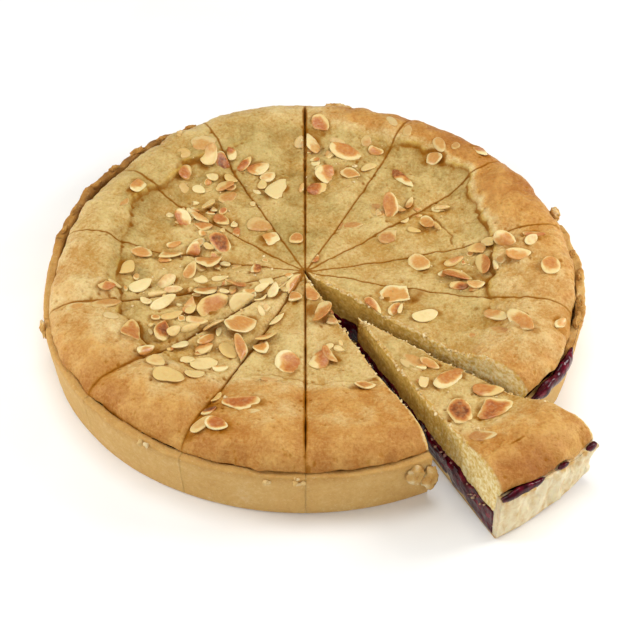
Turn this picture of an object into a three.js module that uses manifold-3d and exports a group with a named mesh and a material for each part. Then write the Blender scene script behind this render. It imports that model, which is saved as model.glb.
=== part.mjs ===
// A round almond tart: a pastry case, a layer of dark red jam and a risen almond sponge with flaked
// almonds baked into its top. It is cut into fourteen slices that still stand together, and one of
// them is drawn part of the way out. Millimetres, +Z up, standing on the XY plane.

import * as THREE from "three";
import { mergeVertices } from "three/addons/utils/BufferGeometryUtils.js";
import Module from "manifold-3d";

const wasm = await Module();
wasm.setup();

// Pastry case
const RIM_RADIUS = 139;
const BASE_RADIUS = 135.5;
const RIM_HEIGHT = 29.5;
const WALL = 4.6;
const FLOOR = 4.5;
const EDGE_ROUND = 1.4;

// Jam: a flat layer, with a lip that swells over the rim where it has come up beside the sponge
const JAM_TOP = 15;
const JAM_LIP = 2.2;
const LIP_SWELL = 2.4;
const LIP_ROUND = 0.6;

// Sponge: heights of its top above the table, and the shares of its radius where its form changes.
// The middle is flat, swells up to a cracked step, and the risen edge rounds over from its crown.
const CENTRE_HEIGHT = 33.5;
const STEP_RISE = 3.6;
const CROWN_HEIGHT = 42;
const MIDDLE_SHARES = [0.33, 0.14, 0];
const SWELL_SHARE = 0.3;
const STEP_SHARE = 0.035;
const CROWN_SHARE = 0.87;
const ROUND_SHARES = [0.985, 0.945];
const KNIFE_DIP = 1.1;
const DIP_SHARE = 0.2;
const SPILL_REACH = 3.3;
const SPILL_ON_RIM = 0.05;
const SPILL_OVER_RIM = 0.25;

// Slow waves round the tart: size, number round the circle and phase
const CROWN_WAVES = [{ size: 0.7, count: 3, phase: 1 }, { size: 0.5, count: 7, phase: 0 }];
const CRACK_WAVES = [{ size: 0.012, count: 23, phase: 0 }, { size: 0.008, count: 57, phase: 2 }];
const RIM_WAVES = [{ size: 0.5, count: 41, phase: 0 }, { size: 0.5, count: 67, phase: 1 }];

// Cuts: all meet at one point near the tart's axis, and each slice stands a little apart from it
const CUT_CENTRE = new THREE.Vector2(-2.6, 0.8);
const FIRST_CUT = Math.PI / 2;
const SPREAD = 0.9;
const CLEARANCE = 0.35;
const COLUMNS = 8;

// The slice that is drawn out, and how far it has moved and turned
const DRAWN = 8;
const DRAWN_MOVE = new THREE.Vector2(26, -33);
const DRAWN_TURN = THREE.MathUtils.degToRad(2.5);

// Flaked almonds
const FLAKE_THICKNESS = 1.3;
const FLAKE_SINK = 0.45;
const FLAKE_TILT = 0.16;
const FLAKE_BROAD_END = 0.75;
const FLAKE_POINTED_END = 0.62;
const FLAKE_SEED = 20;

// Each slice, anticlockwise from the back: the share of the radius where the risen edge starts, how far
// the case stands out of round, how far the sponge spills over the rim, how high the jam comes up beside
// it, and how many degrees wider than the others the sponge's cut is on its clockwise side.
const SLICES = [
  { riseFoot: 0.8, bulge: 0.6, spill: 1, ooze: 0, cut: 0.35 },
  { riseFoot: 0.74, bulge: 0.3, spill: 0, ooze: 0, cut: 0.1 },
  { riseFoot: 0.76, bulge: -1.2, spill: 0, ooze: 0, cut: 0 },
  { riseFoot: 0.72, bulge: -2.4, spill: 0.6, ooze: 0, cut: 0 },
  { riseFoot: 0.72, bulge: 1.2, spill: 0.9, ooze: 0, cut: 0 },
  { riseFoot: 0.68, bulge: 2, spill: 0.6, ooze: 0, cut: 0.1 },
  { riseFoot: 0.61, bulge: 0.8, spill: 1, ooze: 0, cut: 0.1 },
  { riseFoot: 0.62, bulge: -0.4, spill: 1, ooze: 0, cut: 0.2 },
  { riseFoot: 0.73, bulge: -1.4, spill: 0.4, ooze: 0.8, cut: 0.1 },
  { riseFoot: 0.74, bulge: 2.6, spill: 0, ooze: 1, cut: 0 },
  { riseFoot: 0.68, bulge: 2, spill: 0.1, ooze: 0, cut: 0 },
  { riseFoot: 0.73, bulge: -0.6, spill: 0.8, ooze: 0, cut: 0 },
  { riseFoot: 0.8, bulge: -0.8, spill: 1, ooze: 0, cut: 0 },
  { riseFoot: 0.81, bulge: 0.2, spill: 1, ooze: 0, cut: 0 },
];
const SLICE_ANGLE = (2 * Math.PI) / SLICES.length;

// Where the baked rim of the case stands above or below its usual height: the middle and half width
// in degrees, and the rise, which holds over the flat share of that width.
const RIM_RISES = [
  { middle: 136, halfWidth: 34, rise: 3.6 },
  { middle: 14, halfWidth: 3, rise: 4 },
  { middle: -2, halfWidth: 12, rise: 3 },
  { middle: -33, halfWidth: 16, rise: -3 },
];
const RISE_FLAT = 0.6;

// Scraps of pastry that stand out from the case: the slice they belong to, their direction in degrees,
// the height of their middle, and their half sizes along the wall, out from it and up.
const SCRAPS = [
  { slice: 7, direction: -66, height: 17, along: 7, out: 3.4, up: 8.5 },
  { slice: 4, direction: 194.5, height: 27, along: 4, out: 1.7, up: 4 },
  { slice: 11, direction: 20, height: 29.5, along: 2.8, out: 2.8, up: 3.6 },
  { slice: 13, direction: 82, height: 30, along: 7, out: 2, up: 4 },
];
const SCRAP_STAND = 1;
const SCRAP_SEED = 7;

// Each flake of almond as it lies about the cuts' meeting point before the slice is drawn out: where its
// middle is, its length and width, and the direction of its pointed end in degrees.
const FLAKES = [
  // Slice 1
  [-4.5, 25, 9, 8, 90], [-20, 75.5, 10, 7, 40], [-23, 68, 9, 5, 90], [-14.5, 65, 20, 10, 65],
  [-25.5, 82, 13, 10, 30], [-32.5, 85, 12, 5.5, 55], [-40, 91, 11, 6, 95],
  // Slice 2
  [-45, 86, 12, 9, 100], [-51.5, 86.5, 13, 9, 70], [-64, 75.5, 10, 8, 70], [-42.5, 67, 12, 9, -20],
  [-49.5, 74, 7, 6, 40], [-39.5, 74, 9, 6, -50], [-51, 51, 12, 7, 75], [-43.5, 40.5, 11, 8, -60],
  [-37, 37, 6, 3.5, 80], [-17.5, 26, 13, 9, 35], [-59, 49.5, 8, 3, -30],
  // Slice 3
  [-88, 61, 14, 8, 60], [-56, 43, 16, 7, -45], [-63, 39, 15, 7, -60], [-53.5, 34.5, 11, 6, -15],
  [-42.5, 32, 6, 3, 60], [-43.5, 21, 16, 10, -60], [-55, 22.5, 9, 6, 60], [-49.5, 17.5, 7, 3.5, -40],
  [-57.5, 15.5, 12, 7, 70],
  // Slice 4
  [-85, 16, 13, 10, -40], [-71, 14, 16, 9, -5], [-91, -0.5, 19, 8, 88], [-84, -12, 13, 8, 20],
  [-58.5, 0.5, 12, 7, 70], [-49, 8, 15, 14, 10], [-53, -5.5, 8, 6, -20], [-43, -5, 9, 4, 0],
  [-71, -7.5, 11, 8, 30], [-67, -13, 11, 4, 10], [-75.5, -16, 10, 3.5, 12], [-24.5, 3, 12, 5.5, 80],
  [-100.5, -16.5, 9, 6, 10], [-97, -13, 9, 3.5, 5],
  // Slice 5
  [-34.5, -9.7, 14, 9, 35], [-50, -14.5, 16, 10, 50], [-71.5, -23.5, 14, 6, 30], [-57.5, -27.5, 12, 6, 75],
  [-46.5, -25.5, 18, 11, 40], [-54, -36.5, 12, 6, -10], [-70.5, -43.5, 19, 9, 65], [-65.5, -45.5, 8, 5, 40],
  [-86.5, -50.5, 24, 10, 88], [-66.5, -33, 12, 5, 10], [-75, -34, 5, 4, 0], [-57, -42, 11, 4, 25],
  [-18.5, -6, 9, 7, 20], [-21.5, -12, 9, 4, 40], [-28, -16.5, 7, 4, -10], [-31, -23.5, 15, 11, 20],
  [-79, -60, 12, 5, 40],
  // Slice 6
  [-45.5, -39.7, 12, 10.5, 40], [-62, -53, 10, 9, 60], [-50, -56, 10, 7, 30], [-49, -50, 11, 5.5, 45],
  [-32, -40.5, 19, 12, 30], [-37.5, -58, 13, 8, -60], [-31, -58.5, 20, 7, -68], [-50, -67.5, 15, 9, 10],
  [-41.5, -71, 8, 5, 10], [-73, -72, 11, 8, -40], [-66.5, -82.5, 16, 11, 0], [-54, -77.5, 10, 8.5, 20],
  [-22, -20, 7, 4, 30], [-16, -16, 9, 7, 60], [-4.5, -9, 14, 8, 65], [-58, -65, 8, 5, -20],
  // Slice 7
  [-14.5, -33, 12, 6, 60], [-22, -55, 13, 8, -65], [-21, -48, 14, 11, 20], [-8.5, -67, 15, 12, -75],
  [-47, -103.5, 8.5, 5.5, 10], [-31, -100.5, 21, 10, 5], [-50, -114, 13, 7, 45], [-42, -115.5, 12, 9, -30],
  [-5.5, -18, 10, 7, -30], [-43, -93, 9, 3.5, 65],
  // Slice 8
  [3, -15, 14, 8, -70], [8, -31.5, 18, 13, -65], [7, -64.5, 12, 11, 40], [12, -62, 12, 6, -60],
  [12, -54.5, 5, 4, 30], [17, -56.5, 6, 4, -15], [29.5, -84, 13, 8, 35],
  // Slice 9
  [30, -47, 15, 5, 75], [43, -45.5, 20, 9, 42], [61, -56, 17, 9, -10], [62, -69, 21, 12, 20],
  [45, -70, 19, 13, 85], [34, -35, 11, 6, -45],
  // Slice 10
  [34, -25, 13, 5, -55], [48, -16.5, 22, 12, -5], [45, -27, 10, 6, 60], [47.7, -28, 8, 2.5, 75],
  [60, -33, 14, 8, 20], [95.5, -36, 15, 7, -40], [108, -45, 19, 10, -55], [128, -43.5, 10, 6, 60],
  // Slice 11
  [59, 7, 14, 11, -50], [78.5, -11, 10, 6, -15], [78, -3, 17, 10, -20], [87, -12.5, 10, 7, 10],
  [89, 14, 12, 8, 45], [91.5, 1, 17, 8, -75], [76.5, 8, 11, 5, 20], [95.5, 18, 11, 5, -35],
  [103.5, 15.5, 13, 8, -25], [109, 3.5, 14, 8, 10], [125.5, -4.5, 14, 10, 70], [119, 19, 12, 4, 0],
  [117, 14, 8, 6, 40],
  // Slice 12
  [52.5, 41, 7, 3.5, 60], [57, 32, 7.5, 4.5, -20], [64, 38, 14, 7, -70], [70, 50, 12, 3.5, -10],
  // Slice 13
  [52.5, 73.5, 18, 6, -57], [45.5, 46, 19, 8, -82], [55.5, 53, 10, 3.5, 70], [70, 85, 11, 8, -20],
  [95, 91, 12, 7, 110],
  // Slice 14
  [8.5, 114.5, 14, 9, -70], [4, 101, 18, 10, -80], [22, 94.5, 18, 11, -15], [39, 95, 8.5, 6, -30],
  [11, 77, 14, 11, 60], [24.5, 77.5, 15, 8, -50], [35, 83, 10, 5, 30], [6.5, 66.5, 11, 9, 30],
  [4.5, 9.3, 7, 5, 60],
];

// Numbers from 0 to 1 that come out the same on every run.
function seededDraws(seed) {
  const MULTIPLIER = 16807;
  const MODULUS = 2147483647;
  let state = seed;
  return () => {
    state = (state * MULTIPLIER) % MODULUS;
    return state / MODULUS;
  };
}

function wavesAt(waves, angle) {
  return waves.reduce((sum, { size, count, phase }) => sum + size * Math.sin(count * angle + phase), 0);
}

// A value given for the middle of each slice, blended round the tart.
function aroundTart(values, angle) {
  const turns = (angle - FIRST_CUT) / SLICE_ANGLE - 0.5;
  const before = Math.floor(turns);
  const at = (i) => values[((i % values.length) + values.length) % values.length];
  return THREE.MathUtils.lerp(at(before), at(before + 1), turns - before);
}

// How far the tart reaches from the cuts' meeting point in one direction, for a radius about its axis.
function reach(radius, angle) {
  const direction = new THREE.Vector2(Math.cos(angle), Math.sin(angle));
  const along = -CUT_CENTRE.dot(direction);
  const round = along + Math.sqrt(radius ** 2 - CUT_CENTRE.lengthSq() + along ** 2);
  return round + aroundTart(SLICES.map((slice) => slice.bulge), angle);
}

// How far the sponge spills over the rim in one direction, from 0 to 1.
function spillShare(angle) {
  return aroundTart(SLICES.map((slice) => slice.spill), angle);
}

// Height of the rim. It is uneven where the sponge leaves it bare.
function rimHeight(angle) {
  const degrees = THREE.MathUtils.radToDeg(angle);
  const bare = 1 - spillShare(angle);
  let rise = bare * wavesAt(RIM_WAVES, angle);
  for (const { middle, halfWidth, rise: most } of RIM_RISES) {
    const offset = THREE.MathUtils.euclideanModulo(degrees - middle + 180, 360) - 180;
    rise += most * (1 - THREE.MathUtils.smoothstep(Math.abs(offset) / halfWidth, RISE_FLAT, 1));
  }
  return RIM_HEIGHT + bare * rise;
}

// Height of the sponge's outer edge: on top of the rim where it spills over, inside the case elsewhere.
function edgeHeight(angle) {
  const over = THREE.MathUtils.smoothstep(spillShare(angle), 0, SPILL_ON_RIM);
  return THREE.MathUtils.lerp(RIM_HEIGHT, rimHeight(angle), over) + CLEARANCE;
}

// Inner face of the case's wall at a height, as a radius about the tart's axis.
function wallInside(height, angle) {
  return BASE_RADIUS - WALL + (RIM_RADIUS - BASE_RADIUS) * Math.min(height / rimHeight(angle), 1);
}

// Where the risen edge starts, with the uneven line of its crack.
function riseFoot(angle) {
  return aroundTart(SLICES.map((slice) => slice.riseFoot), angle) + wavesAt(CRACK_WAVES, angle);
}

// Height of the sponge's top at a share of its radius. The crust dips beside each cut, where the
// knife has dragged it down.
function crustHeight(share, angle, nearCut) {
  const crown = CROWN_HEIGHT + wavesAt(CROWN_WAVES, angle);
  const foot = riseFoot(angle);
  const dip = KNIFE_DIP * nearCut * Math.min(share / DIP_SHARE, 1);
  if (share > CROWN_SHARE) {
    const down = (share - CROWN_SHARE) / (1 - CROWN_SHARE);
    const edge = edgeHeight(angle) + EDGE_ROUND;
    return edge + (crown - edge) * Math.sqrt(Math.max(1 - down ** 2, 0)) - dip * (1 - down);
  }
  const stepped = STEP_RISE * THREE.MathUtils.smoothstep(share, foot, foot + STEP_SHARE);
  const swell = crown - CENTRE_HEIGHT - STEP_RISE;
  const rising = swell * THREE.MathUtils.smoothstep(share, foot - SWELL_SHARE, CROWN_SHARE);
  return CENTRE_HEIGHT + stepped + rising - dip;
}

// A wedge whose outline, in radius and height, changes with the angle. The outline runs anticlockwise
// from the foot of the axis to its top, and a flat cut face closes each end. The columns stand closer
// together beside the cuts.
function revolvedWedge(outlineAt, from, to, columns) {
  const outlines = [];
  for (let i = 0; i <= columns; i++) {
    const across = Math.sin((i / columns - 0.5) * Math.PI) / 2 + 0.5;
    const angle = THREE.MathUtils.lerp(from, to, across);
    outlines.push({ angle, corners: outlineAt(angle, i === 0 || i === columns ? 1 : 0) });
  }
  const first = outlines[0].corners;
  const last = outlines[columns].corners;
  const wedge = new THREE.LatheGeometry(first, columns, from, to - from);
  outlines.forEach(({ angle, corners }, i) =>
    corners.forEach(({ x, y }, j) =>
      wedge.attributes.position.setXYZ(i * first.length + j, x * Math.cos(angle), x * Math.sin(angle), y),
    ),
  );
  const startFace = THREE.ShapeUtils.triangulateShape(first, []).flat();
  const endFace = THREE.ShapeUtils.triangulateShape(last, []).flat().reverse();
  wedge.setIndex([...wedge.index.array, ...startFace, ...endFace.map((j) => columns * first.length + j)]);
  return closedSurface(wedge);
}

// The geometry with its touching vertices joined and its collapsed triangles left out.
function closedSurface(geometry) {
  geometry.deleteAttribute("normal");
  geometry.deleteAttribute("uv");
  const joined = mergeVertices(geometry, 1e-3);
  const kept = [];
  for (let i = 0; i < joined.index.count; i += 3) {
    const [a, b, c] = joined.index.array.slice(i, i + 3);
    if (a !== b && b !== c && c !== a) kept.push(a, b, c);
  }
  return joined.setIndex(kept);
}

function toSolid(geometry) {
  return new wasm.Manifold(
    new wasm.Mesh({
      numProp: 3,
      vertProperties: new Float32Array(geometry.attributes.position.array),
      triVerts: new Uint32Array(geometry.index.array),
    }),
  );
}

function toGeometry(solid) {
  const { vertProperties, triVerts } = solid.getMesh();
  const geometry = new THREE.BufferGeometry();
  geometry.setAttribute("position", new THREE.BufferAttribute(vertProperties, 3));
  return geometry.setIndex(new THREE.BufferAttribute(triVerts, 1));
}

// The solid without any loose scrap that cutting has left beside it.
function largestBody(solid) {
  return solid.decompose().sort((a, b) => b.volume() - a.volume())[0];
}

// One slice's part of the case: its floor and its stretch of wall.
function caseOutline(angle) {
  const rim = rimHeight(angle);
  const outer = reach(RIM_RADIUS, angle);
  const base = reach(BASE_RADIUS, angle);
  const inner = reach(wallInside(rim, angle), angle);
  return [
    new THREE.Vector2(0, 0),
    new THREE.Vector2(base - EDGE_ROUND, 0),
    new THREE.Vector2(base, EDGE_ROUND),
    new THREE.Vector2(outer, rim - EDGE_ROUND),
    new THREE.Vector2(outer - EDGE_ROUND, rim),
    new THREE.Vector2(inner, rim),
    new THREE.Vector2(reach(wallInside(FLOOR, angle), angle), FLOOR),
    new THREE.Vector2(0, FLOOR),
  ];
}

// A rough lump of pastry stuck to the outside of the wall.
function scrapSolid({ direction, height, along, out, up }) {
  const draw = seededDraws(SCRAP_SEED);
  const angle = THREE.MathUtils.degToRad(direction);
  const lump = closedSurface(new THREE.IcosahedronGeometry(1, 1));
  const corner = new THREE.Vector3();
  for (let i = 0; i < lump.attributes.position.count; i++) {
    corner.fromBufferAttribute(lump.attributes.position, i).multiplyScalar(0.8 + 0.4 * draw());
    lump.attributes.position.setXYZ(i, corner.x, corner.y, corner.z);
  }
  const from = reach(RIM_RADIUS, angle) + SCRAP_STAND;
  lump.scale(out, along, up).rotateZ(angle);
  return toSolid(lump.translate(from * Math.cos(angle), from * Math.sin(angle), height));
}

// One slice's part of the case, with any scraps that stand out from it.
function caseWithScraps(pastry, index) {
  const scraps = SCRAPS.filter(({ slice }) => slice === index).map(scrapSolid);
  return scraps.reduce((solid, scrap) => solid.add(scrap), toSolid(pastry));
}

// The jam lies flat on the case's floor. Where it comes up beside the sponge it has a lip that swells
// over the rim.
function jamOutline(angle, ooze) {
  const bottom = FLOOR + CLEARANCE;
  const outside = (height) => reach(wallInside(height, angle) - CLEARANCE, angle);
  if (!ooze) {
    return [
      new THREE.Vector2(0, bottom),
      new THREE.Vector2(outside(bottom), bottom),
      new THREE.Vector2(outside(JAM_TOP), JAM_TOP),
      new THREE.Vector2(0, JAM_TOP),
    ];
  }
  const rim = rimHeight(angle) + CLEARANCE;
  const lipTop = rim + LIP_SWELL * ooze;
  const over = outside(rim) + ooze * (WALL - EDGE_ROUND);
  return [
    new THREE.Vector2(0, bottom),
    new THREE.Vector2(outside(bottom), bottom),
    new THREE.Vector2(outside(rim), rim),
    new THREE.Vector2(over, rim + LIP_ROUND),
    new THREE.Vector2(over - LIP_ROUND, lipTop),
    new THREE.Vector2(outside(rim) - JAM_LIP, lipTop - LIP_ROUND),
    new THREE.Vector2(outside(JAM_TOP) - JAM_LIP, JAM_TOP),
    new THREE.Vector2(0, JAM_TOP),
  ];
}

// The sponge stands on the jam inside the case. It leaves room for the jam's lip where there is one, and
// spills over the rim elsewhere.
function spongeOutline(angle, nearCut, ooze) {
  const bottom = JAM_TOP + CLEARANCE;
  const lip = ooze ? JAM_LIP + CLEARANCE : 0;
  const inside = (height) => reach(wallInside(height, angle) - CLEARANCE, angle) - lip;
  const ledge = edgeHeight(angle);
  const spillOver = THREE.MathUtils.smoothstep(spillShare(angle), SPILL_OVER_RIM, 1);
  const spill = ooze ? 0 : SPILL_REACH * spillOver;
  const edge = inside(ledge) + spill;
  const foot = riseFoot(angle);
  const stepTop = foot + STEP_SHARE;
  const rising = [CROWN_SHARE, (stepTop + CROWN_SHARE) / 2, stepTop, foot, foot - SWELL_SHARE / 2];
  const shares = [...ROUND_SHARES, ...rising, ...MIDDLE_SHARES];
  return [
    new THREE.Vector2(0, bottom),
    new THREE.Vector2(inside(bottom), bottom),
    new THREE.Vector2(inside(ledge), ledge),
    new THREE.Vector2(edge, ledge + EDGE_ROUND / 2),
    ...shares.map((share) => new THREE.Vector2(share * edge, crustHeight(share, angle, nearCut))),
  ];
}

// Every flake of almond, each with a slight tilt of its own.
function placeFlakes() {
  const draw = seededDraws(FLAKE_SEED);
  return FLAKES.map(([x, y, length, width, turn]) => ({
    x,
    y,
    length,
    width,
    turn: THREE.MathUtils.degToRad(turn),
    tilt: FLAKE_TILT * draw(),
    tiltTurn: 2 * Math.PI * draw(),
  }));
}

// An almond cut lengthways: broad at one end and pointed at the other.
function flakeGeometry(length, width) {
  const half = length / 2;
  const outline = new THREE.Shape();
  outline.moveTo(-half, 0);
  const broad = FLAKE_BROAD_END * width;
  const pointed = FLAKE_POINTED_END * width;
  outline.bezierCurveTo(-half, -broad, half / 2, -pointed, half, 0);
  outline.bezierCurveTo(half / 2, pointed, -half, broad, -half, 0);
  const flake = new THREE.ExtrudeGeometry(outline, {
    depth: FLAKE_THICKNESS,
    bevelEnabled: false,
    curveSegments: 3,
  });
  return closedSurface(flake);
}

// A slice's sponge with its flakes sunk a little into the crust. A flake that lies across a cut is cut
// through with it.
function spongeWithFlakes(sponge, flakes, from, to) {
  const crust = new THREE.Mesh(sponge, new THREE.MeshBasicMaterial({ side: THREE.DoubleSide }));
  const block = [
    new THREE.Vector2(0, 0),
    new THREE.Vector2(2 * RIM_RADIUS, 0),
    new THREE.Vector2(2 * RIM_RADIUS, 2 * CROWN_HEIGHT),
    new THREE.Vector2(0, 2 * CROWN_HEIGHT),
  ];
  const middle = (from + to) / 2;
  const clear = CLEARANCE / 2;
  const between = toSolid(
    revolvedWedge(() => block, from, to, 2).translate(clear * Math.cos(middle), clear * Math.sin(middle), 0),
  );
  const down = new THREE.Vector3(0, 0, -1);
  const up = new THREE.Vector3(0, 0, 1);
  let solid = toSolid(sponge);
  for (const flake of flakes) {
    const above = new THREE.Vector3(flake.x, flake.y, 2 * CROWN_HEIGHT);
    const [hit] = new THREE.Raycaster(above, down).intersectObject(crust);
    if (!hit) continue;
    const lean = new THREE.Vector3(Math.cos(flake.tiltTurn), Math.sin(flake.tiltTurn), 0);
    const normal = hit.face.normal.clone().add(up).addScaledVector(lean, flake.tilt).normalize();
    const place = new THREE.Matrix4()
      .makeRotationFromQuaternion(new THREE.Quaternion().setFromUnitVectors(up, normal))
      .setPosition(hit.point)
      .multiply(new THREE.Matrix4().makeRotationZ(flake.turn))
      .multiply(new THREE.Matrix4().makeTranslation(0, 0, -FLAKE_SINK));
    const piece = toSolid(flakeGeometry(flake.length, flake.width).applyMatrix4(place));
    solid = solid.add(piece.intersect(between));
  }
  return toGeometry(largestBody(solid));
}

const PASTRY = new THREE.MeshStandardMaterial({ color: 0xd2ab6c, roughness: 0.8, metalness: 0 });
const JAM = new THREE.MeshStandardMaterial({ color: 0x3a0712, roughness: 0.15, metalness: 0 });
const SPONGE = new THREE.MeshStandardMaterial({ color: 0xd0a860, roughness: 0.7, metalness: 0 });

// The flakes between two directions from the cuts' meeting point.
function flakesBetween(flakes, from, to) {
  return flakes.filter(
    ({ x, y }) => THREE.MathUtils.euclideanModulo(Math.atan2(y, x) - from, 2 * Math.PI) < to - from,
  );
}

// One slice about the cuts' meeting point: its stretch of case, its jam and its sponge.
function makeSlice(index, flakes) {
  const { ooze, cut } = SLICES[index];
  const from = FIRST_CUT + index * SLICE_ANGLE;
  const to = from + SLICE_ANGLE;
  const spongeFrom = from + THREE.MathUtils.degToRad(cut);
  const spongeTo = to - THREE.MathUtils.degToRad(SLICES[(index + 1) % SLICES.length].cut);
  const crumb = revolvedWedge((a, nearCut) => spongeOutline(a, nearCut, ooze), spongeFrom, spongeTo, COLUMNS);
  const layers = [
    ["pastry", toGeometry(caseWithScraps(revolvedWedge(caseOutline, from, to, COLUMNS), index)), PASTRY],
    ["jam", revolvedWedge((a) => jamOutline(a, ooze), from, to, COLUMNS), JAM],
    ["sponge", spongeWithFlakes(crumb, flakesBetween(flakes, from, to), spongeFrom, spongeTo), SPONGE],
  ];
  const slice = new THREE.Group();
  for (const [name, geometry, material] of layers) {
    const layer = new THREE.Mesh(geometry, material.clone());
    layer.name = `${name}_${String(index + 1).padStart(2, "0")}`;
    slice.add(layer);
  }
  const middle = (from + to) / 2;
  slice.position.set(CUT_CENTRE.x + SPREAD * Math.cos(middle), CUT_CENTRE.y + SPREAD * Math.sin(middle), 0);
  return slice;
}

const tart = new THREE.Group();
const flakes = placeFlakes();
SLICES.forEach((_, index) => tart.add(makeSlice(index, flakes)));

const drawn = tart.children[DRAWN];
drawn.position.x += DRAWN_MOVE.x;
drawn.position.y += DRAWN_MOVE.y;
drawn.rotation.z = DRAWN_TURN;

// The origin is the middle of the footprint, on the table.
const footprint = new THREE.Box3().setFromObject(tart, true).getCenter(new THREE.Vector3());
tart.position.set(-footprint.x, -footprint.y, 0);

const part = new THREE.Group();
part.add(tart);

export default part;
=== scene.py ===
"""Dresses the solids of a round almond tart: crust, crumb, jam, pastry, flaked almonds and crumbs."""

import math
from functools import cache
from itertools import product

import bmesh
import bpy
import numpy as np
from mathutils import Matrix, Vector


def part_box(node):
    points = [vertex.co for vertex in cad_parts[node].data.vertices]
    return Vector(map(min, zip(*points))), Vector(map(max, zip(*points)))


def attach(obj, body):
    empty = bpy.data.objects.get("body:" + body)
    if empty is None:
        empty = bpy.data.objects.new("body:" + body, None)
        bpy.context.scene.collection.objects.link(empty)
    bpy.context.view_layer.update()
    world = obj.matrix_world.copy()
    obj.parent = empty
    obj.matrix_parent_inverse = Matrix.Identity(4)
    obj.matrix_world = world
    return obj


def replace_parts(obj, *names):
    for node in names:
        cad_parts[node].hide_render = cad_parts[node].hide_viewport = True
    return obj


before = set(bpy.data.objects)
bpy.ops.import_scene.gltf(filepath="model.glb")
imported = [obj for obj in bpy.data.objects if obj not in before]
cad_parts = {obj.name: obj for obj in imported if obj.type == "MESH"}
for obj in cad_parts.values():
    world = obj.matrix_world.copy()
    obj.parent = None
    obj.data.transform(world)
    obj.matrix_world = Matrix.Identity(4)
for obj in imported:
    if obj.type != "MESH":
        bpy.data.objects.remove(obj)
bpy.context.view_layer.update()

MM = 0.001

# Driving dimensions of the tart in millimetres, close to those of the solids
RIM_RADIUS = 139.0
BASE_RADIUS = 135.5
RIM_HEIGHT = 29.5
WALL = 4.6
FLOOR = 4.5
EDGE_ROUND = 1.4
JAM_TOP = 15.0
CENTRE_HEIGHT = 33.5
CROWN_HEIGHT = 42.0
SWELL_START = 16.0
CLEARANCE = 0.35

# Places along the sponge's radius, as shares of it: the end of the dip at the tip, where the rows of its
# mesh come closer together, the crown, where its edge turns ragged, and the last place that things lie on
DIP_SHARE = 0.2
MIDDLE_SHARE = 0.55
CROWN_SHARE = 0.87
RAGGED_SHARES = (0.85, 1)
OUTERMOST_SHARE = 0.99

# How far sponge spills over the rim, and the shares of a full spill at which it lies on the rim and passes
# it. Where jam comes up, the sponge makes a given share of a full spill.
SPILL_REACH = 3.3
SPILL_ON_RIM = 0.05
SPILL_OVER_RIM = 0.25
JAM_SPILL = 0.85

# Slow waves round the tart: size, number round the circle and phase
CROWN_WAVES = ((0.7, 3, 1), (0.5, 7, 0))
RIM_WAVES = ((0.5, 41, 0), (0.5, 67, 1))

# Cuts: where they meet from the tart's axis, and how far each slice stands from there. Cuts in place are
# closed by a share: raggedly at the crust, wholly below the kerf's depths and at its outer end. Thin cuts,
# trimmed by fewer degrees than given here, are closed at the crust as well.
CUT_CENTRE = np.array((-2.6, 0.8))
FIRST_CUT = math.pi / 2
SPREAD = 0.9
CUT_CLOSED = 0.97
CASE_CLOSED = 0.9
KERF_CLOSED = 0.25
KERF_MOST_CLOSED = 0.9
KERF_END = (0.9, 0.97)
KERF_DEPTHS = (0.6, 4.0)
CLOSING_WIDTH = 1.5
THIN_CUT = 0.15

# The drawn slice: its number from 0, how far it is drawn out and turned, and how far its torn foot rises
DRAWN = 8
DRAWN_MOVE = np.array((26.0, -33.0))
DRAWN_TURN = math.radians(2.5)
TORN_FOOT = 6.0

# Each slice, anticlockwise from the back: how far its edge bulges, how much sponge spills over its rim from
# 0 to 1, and by how many degrees the sponge is trimmed at the cut on its clockwise side
BULGE = (0.6, 0.3, -1.2, -2.4, 1.2, 2, 0.8, -0.4, -1.4, 2.6, 2, -0.6, -0.8, 0.2)
SPILL = (1, 0, 0, 0.6, 0.9, 0.6, 1, 1, 0.4, 0, 0.1, 0.8, 1, 1)
EXTRA_CUT = (0.35, 0.1, 0, 0, 0, 0.1, 0.1, 0.2, 0.1, 0, 0, 0, 0, 0)
SLICE_COUNT = len(BULGE)
SLICE_ANGLE = 2 * math.pi / SLICE_COUNT

# How far the crust has been dragged down at the cut on each slice's clockwise side, and how wide the dip is
# in the flat middle and in the risen edge. The dip is shallower in the flat middle. Shade is painted along a
# cut: a dark line, and a wider painted shade where the dip is deep.
CUT_DIP = (1.2, 1.7, 1.6, 2.0, 3.8, 5.2, 4.6, 2.2, 0.5, 0.5, 1.7, 1.8, 1.7, 1.6)
CUT_DIP_WIDTH = (2.6, 12.0)
CUT_DIP_CURVE = 1.6
FLAT_DIP = 0.6
DIP_RISE = (-2, 14)
CUT_LINE = 0.55
CUT_SHADE = 2.4
CUT_SHADE_SHARE = 0.4

# Crumbled crust along the open cuts: how wide, how far it juts out and is set back, how far it has dropped,
# and how much crumb it bares
CRUMBLE_WIDTH = 1.8
CRUMBLE_JAG = 0.6
CRUMBLE_BACK = 0.2
CRUMBLE_DROP = 0.7
CRUMBLE_DEEPEST = 1.6
CRUMBLE_BARED = 0.9
CRUMBLE_STRENGTH = 1.4
CRUMB_SHOWS = 0.8
CRUMBLED_BAKE = 0.8

# How far the crust's edge has shrunk from the rim in each slice, and how far it has lifted off it
EDGE_GAP = (0, 2.2, 2.6, 1.0, 0.8, 2.0, 1.4, 0.8, 0, 0, 0, 0, 0, 0)
EDGE_LIFT = (0, 0, 0, 0, 0.3, 0.6, 0.3, 0.2, 0, 0, 0, 0, 0, 0)

# How far the sponge's edge comes down on the rim, and how deep its underside lies in the jam
LEDGE_DROP = 0.5
SPONGE_IN_JAM = 1.2
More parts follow.
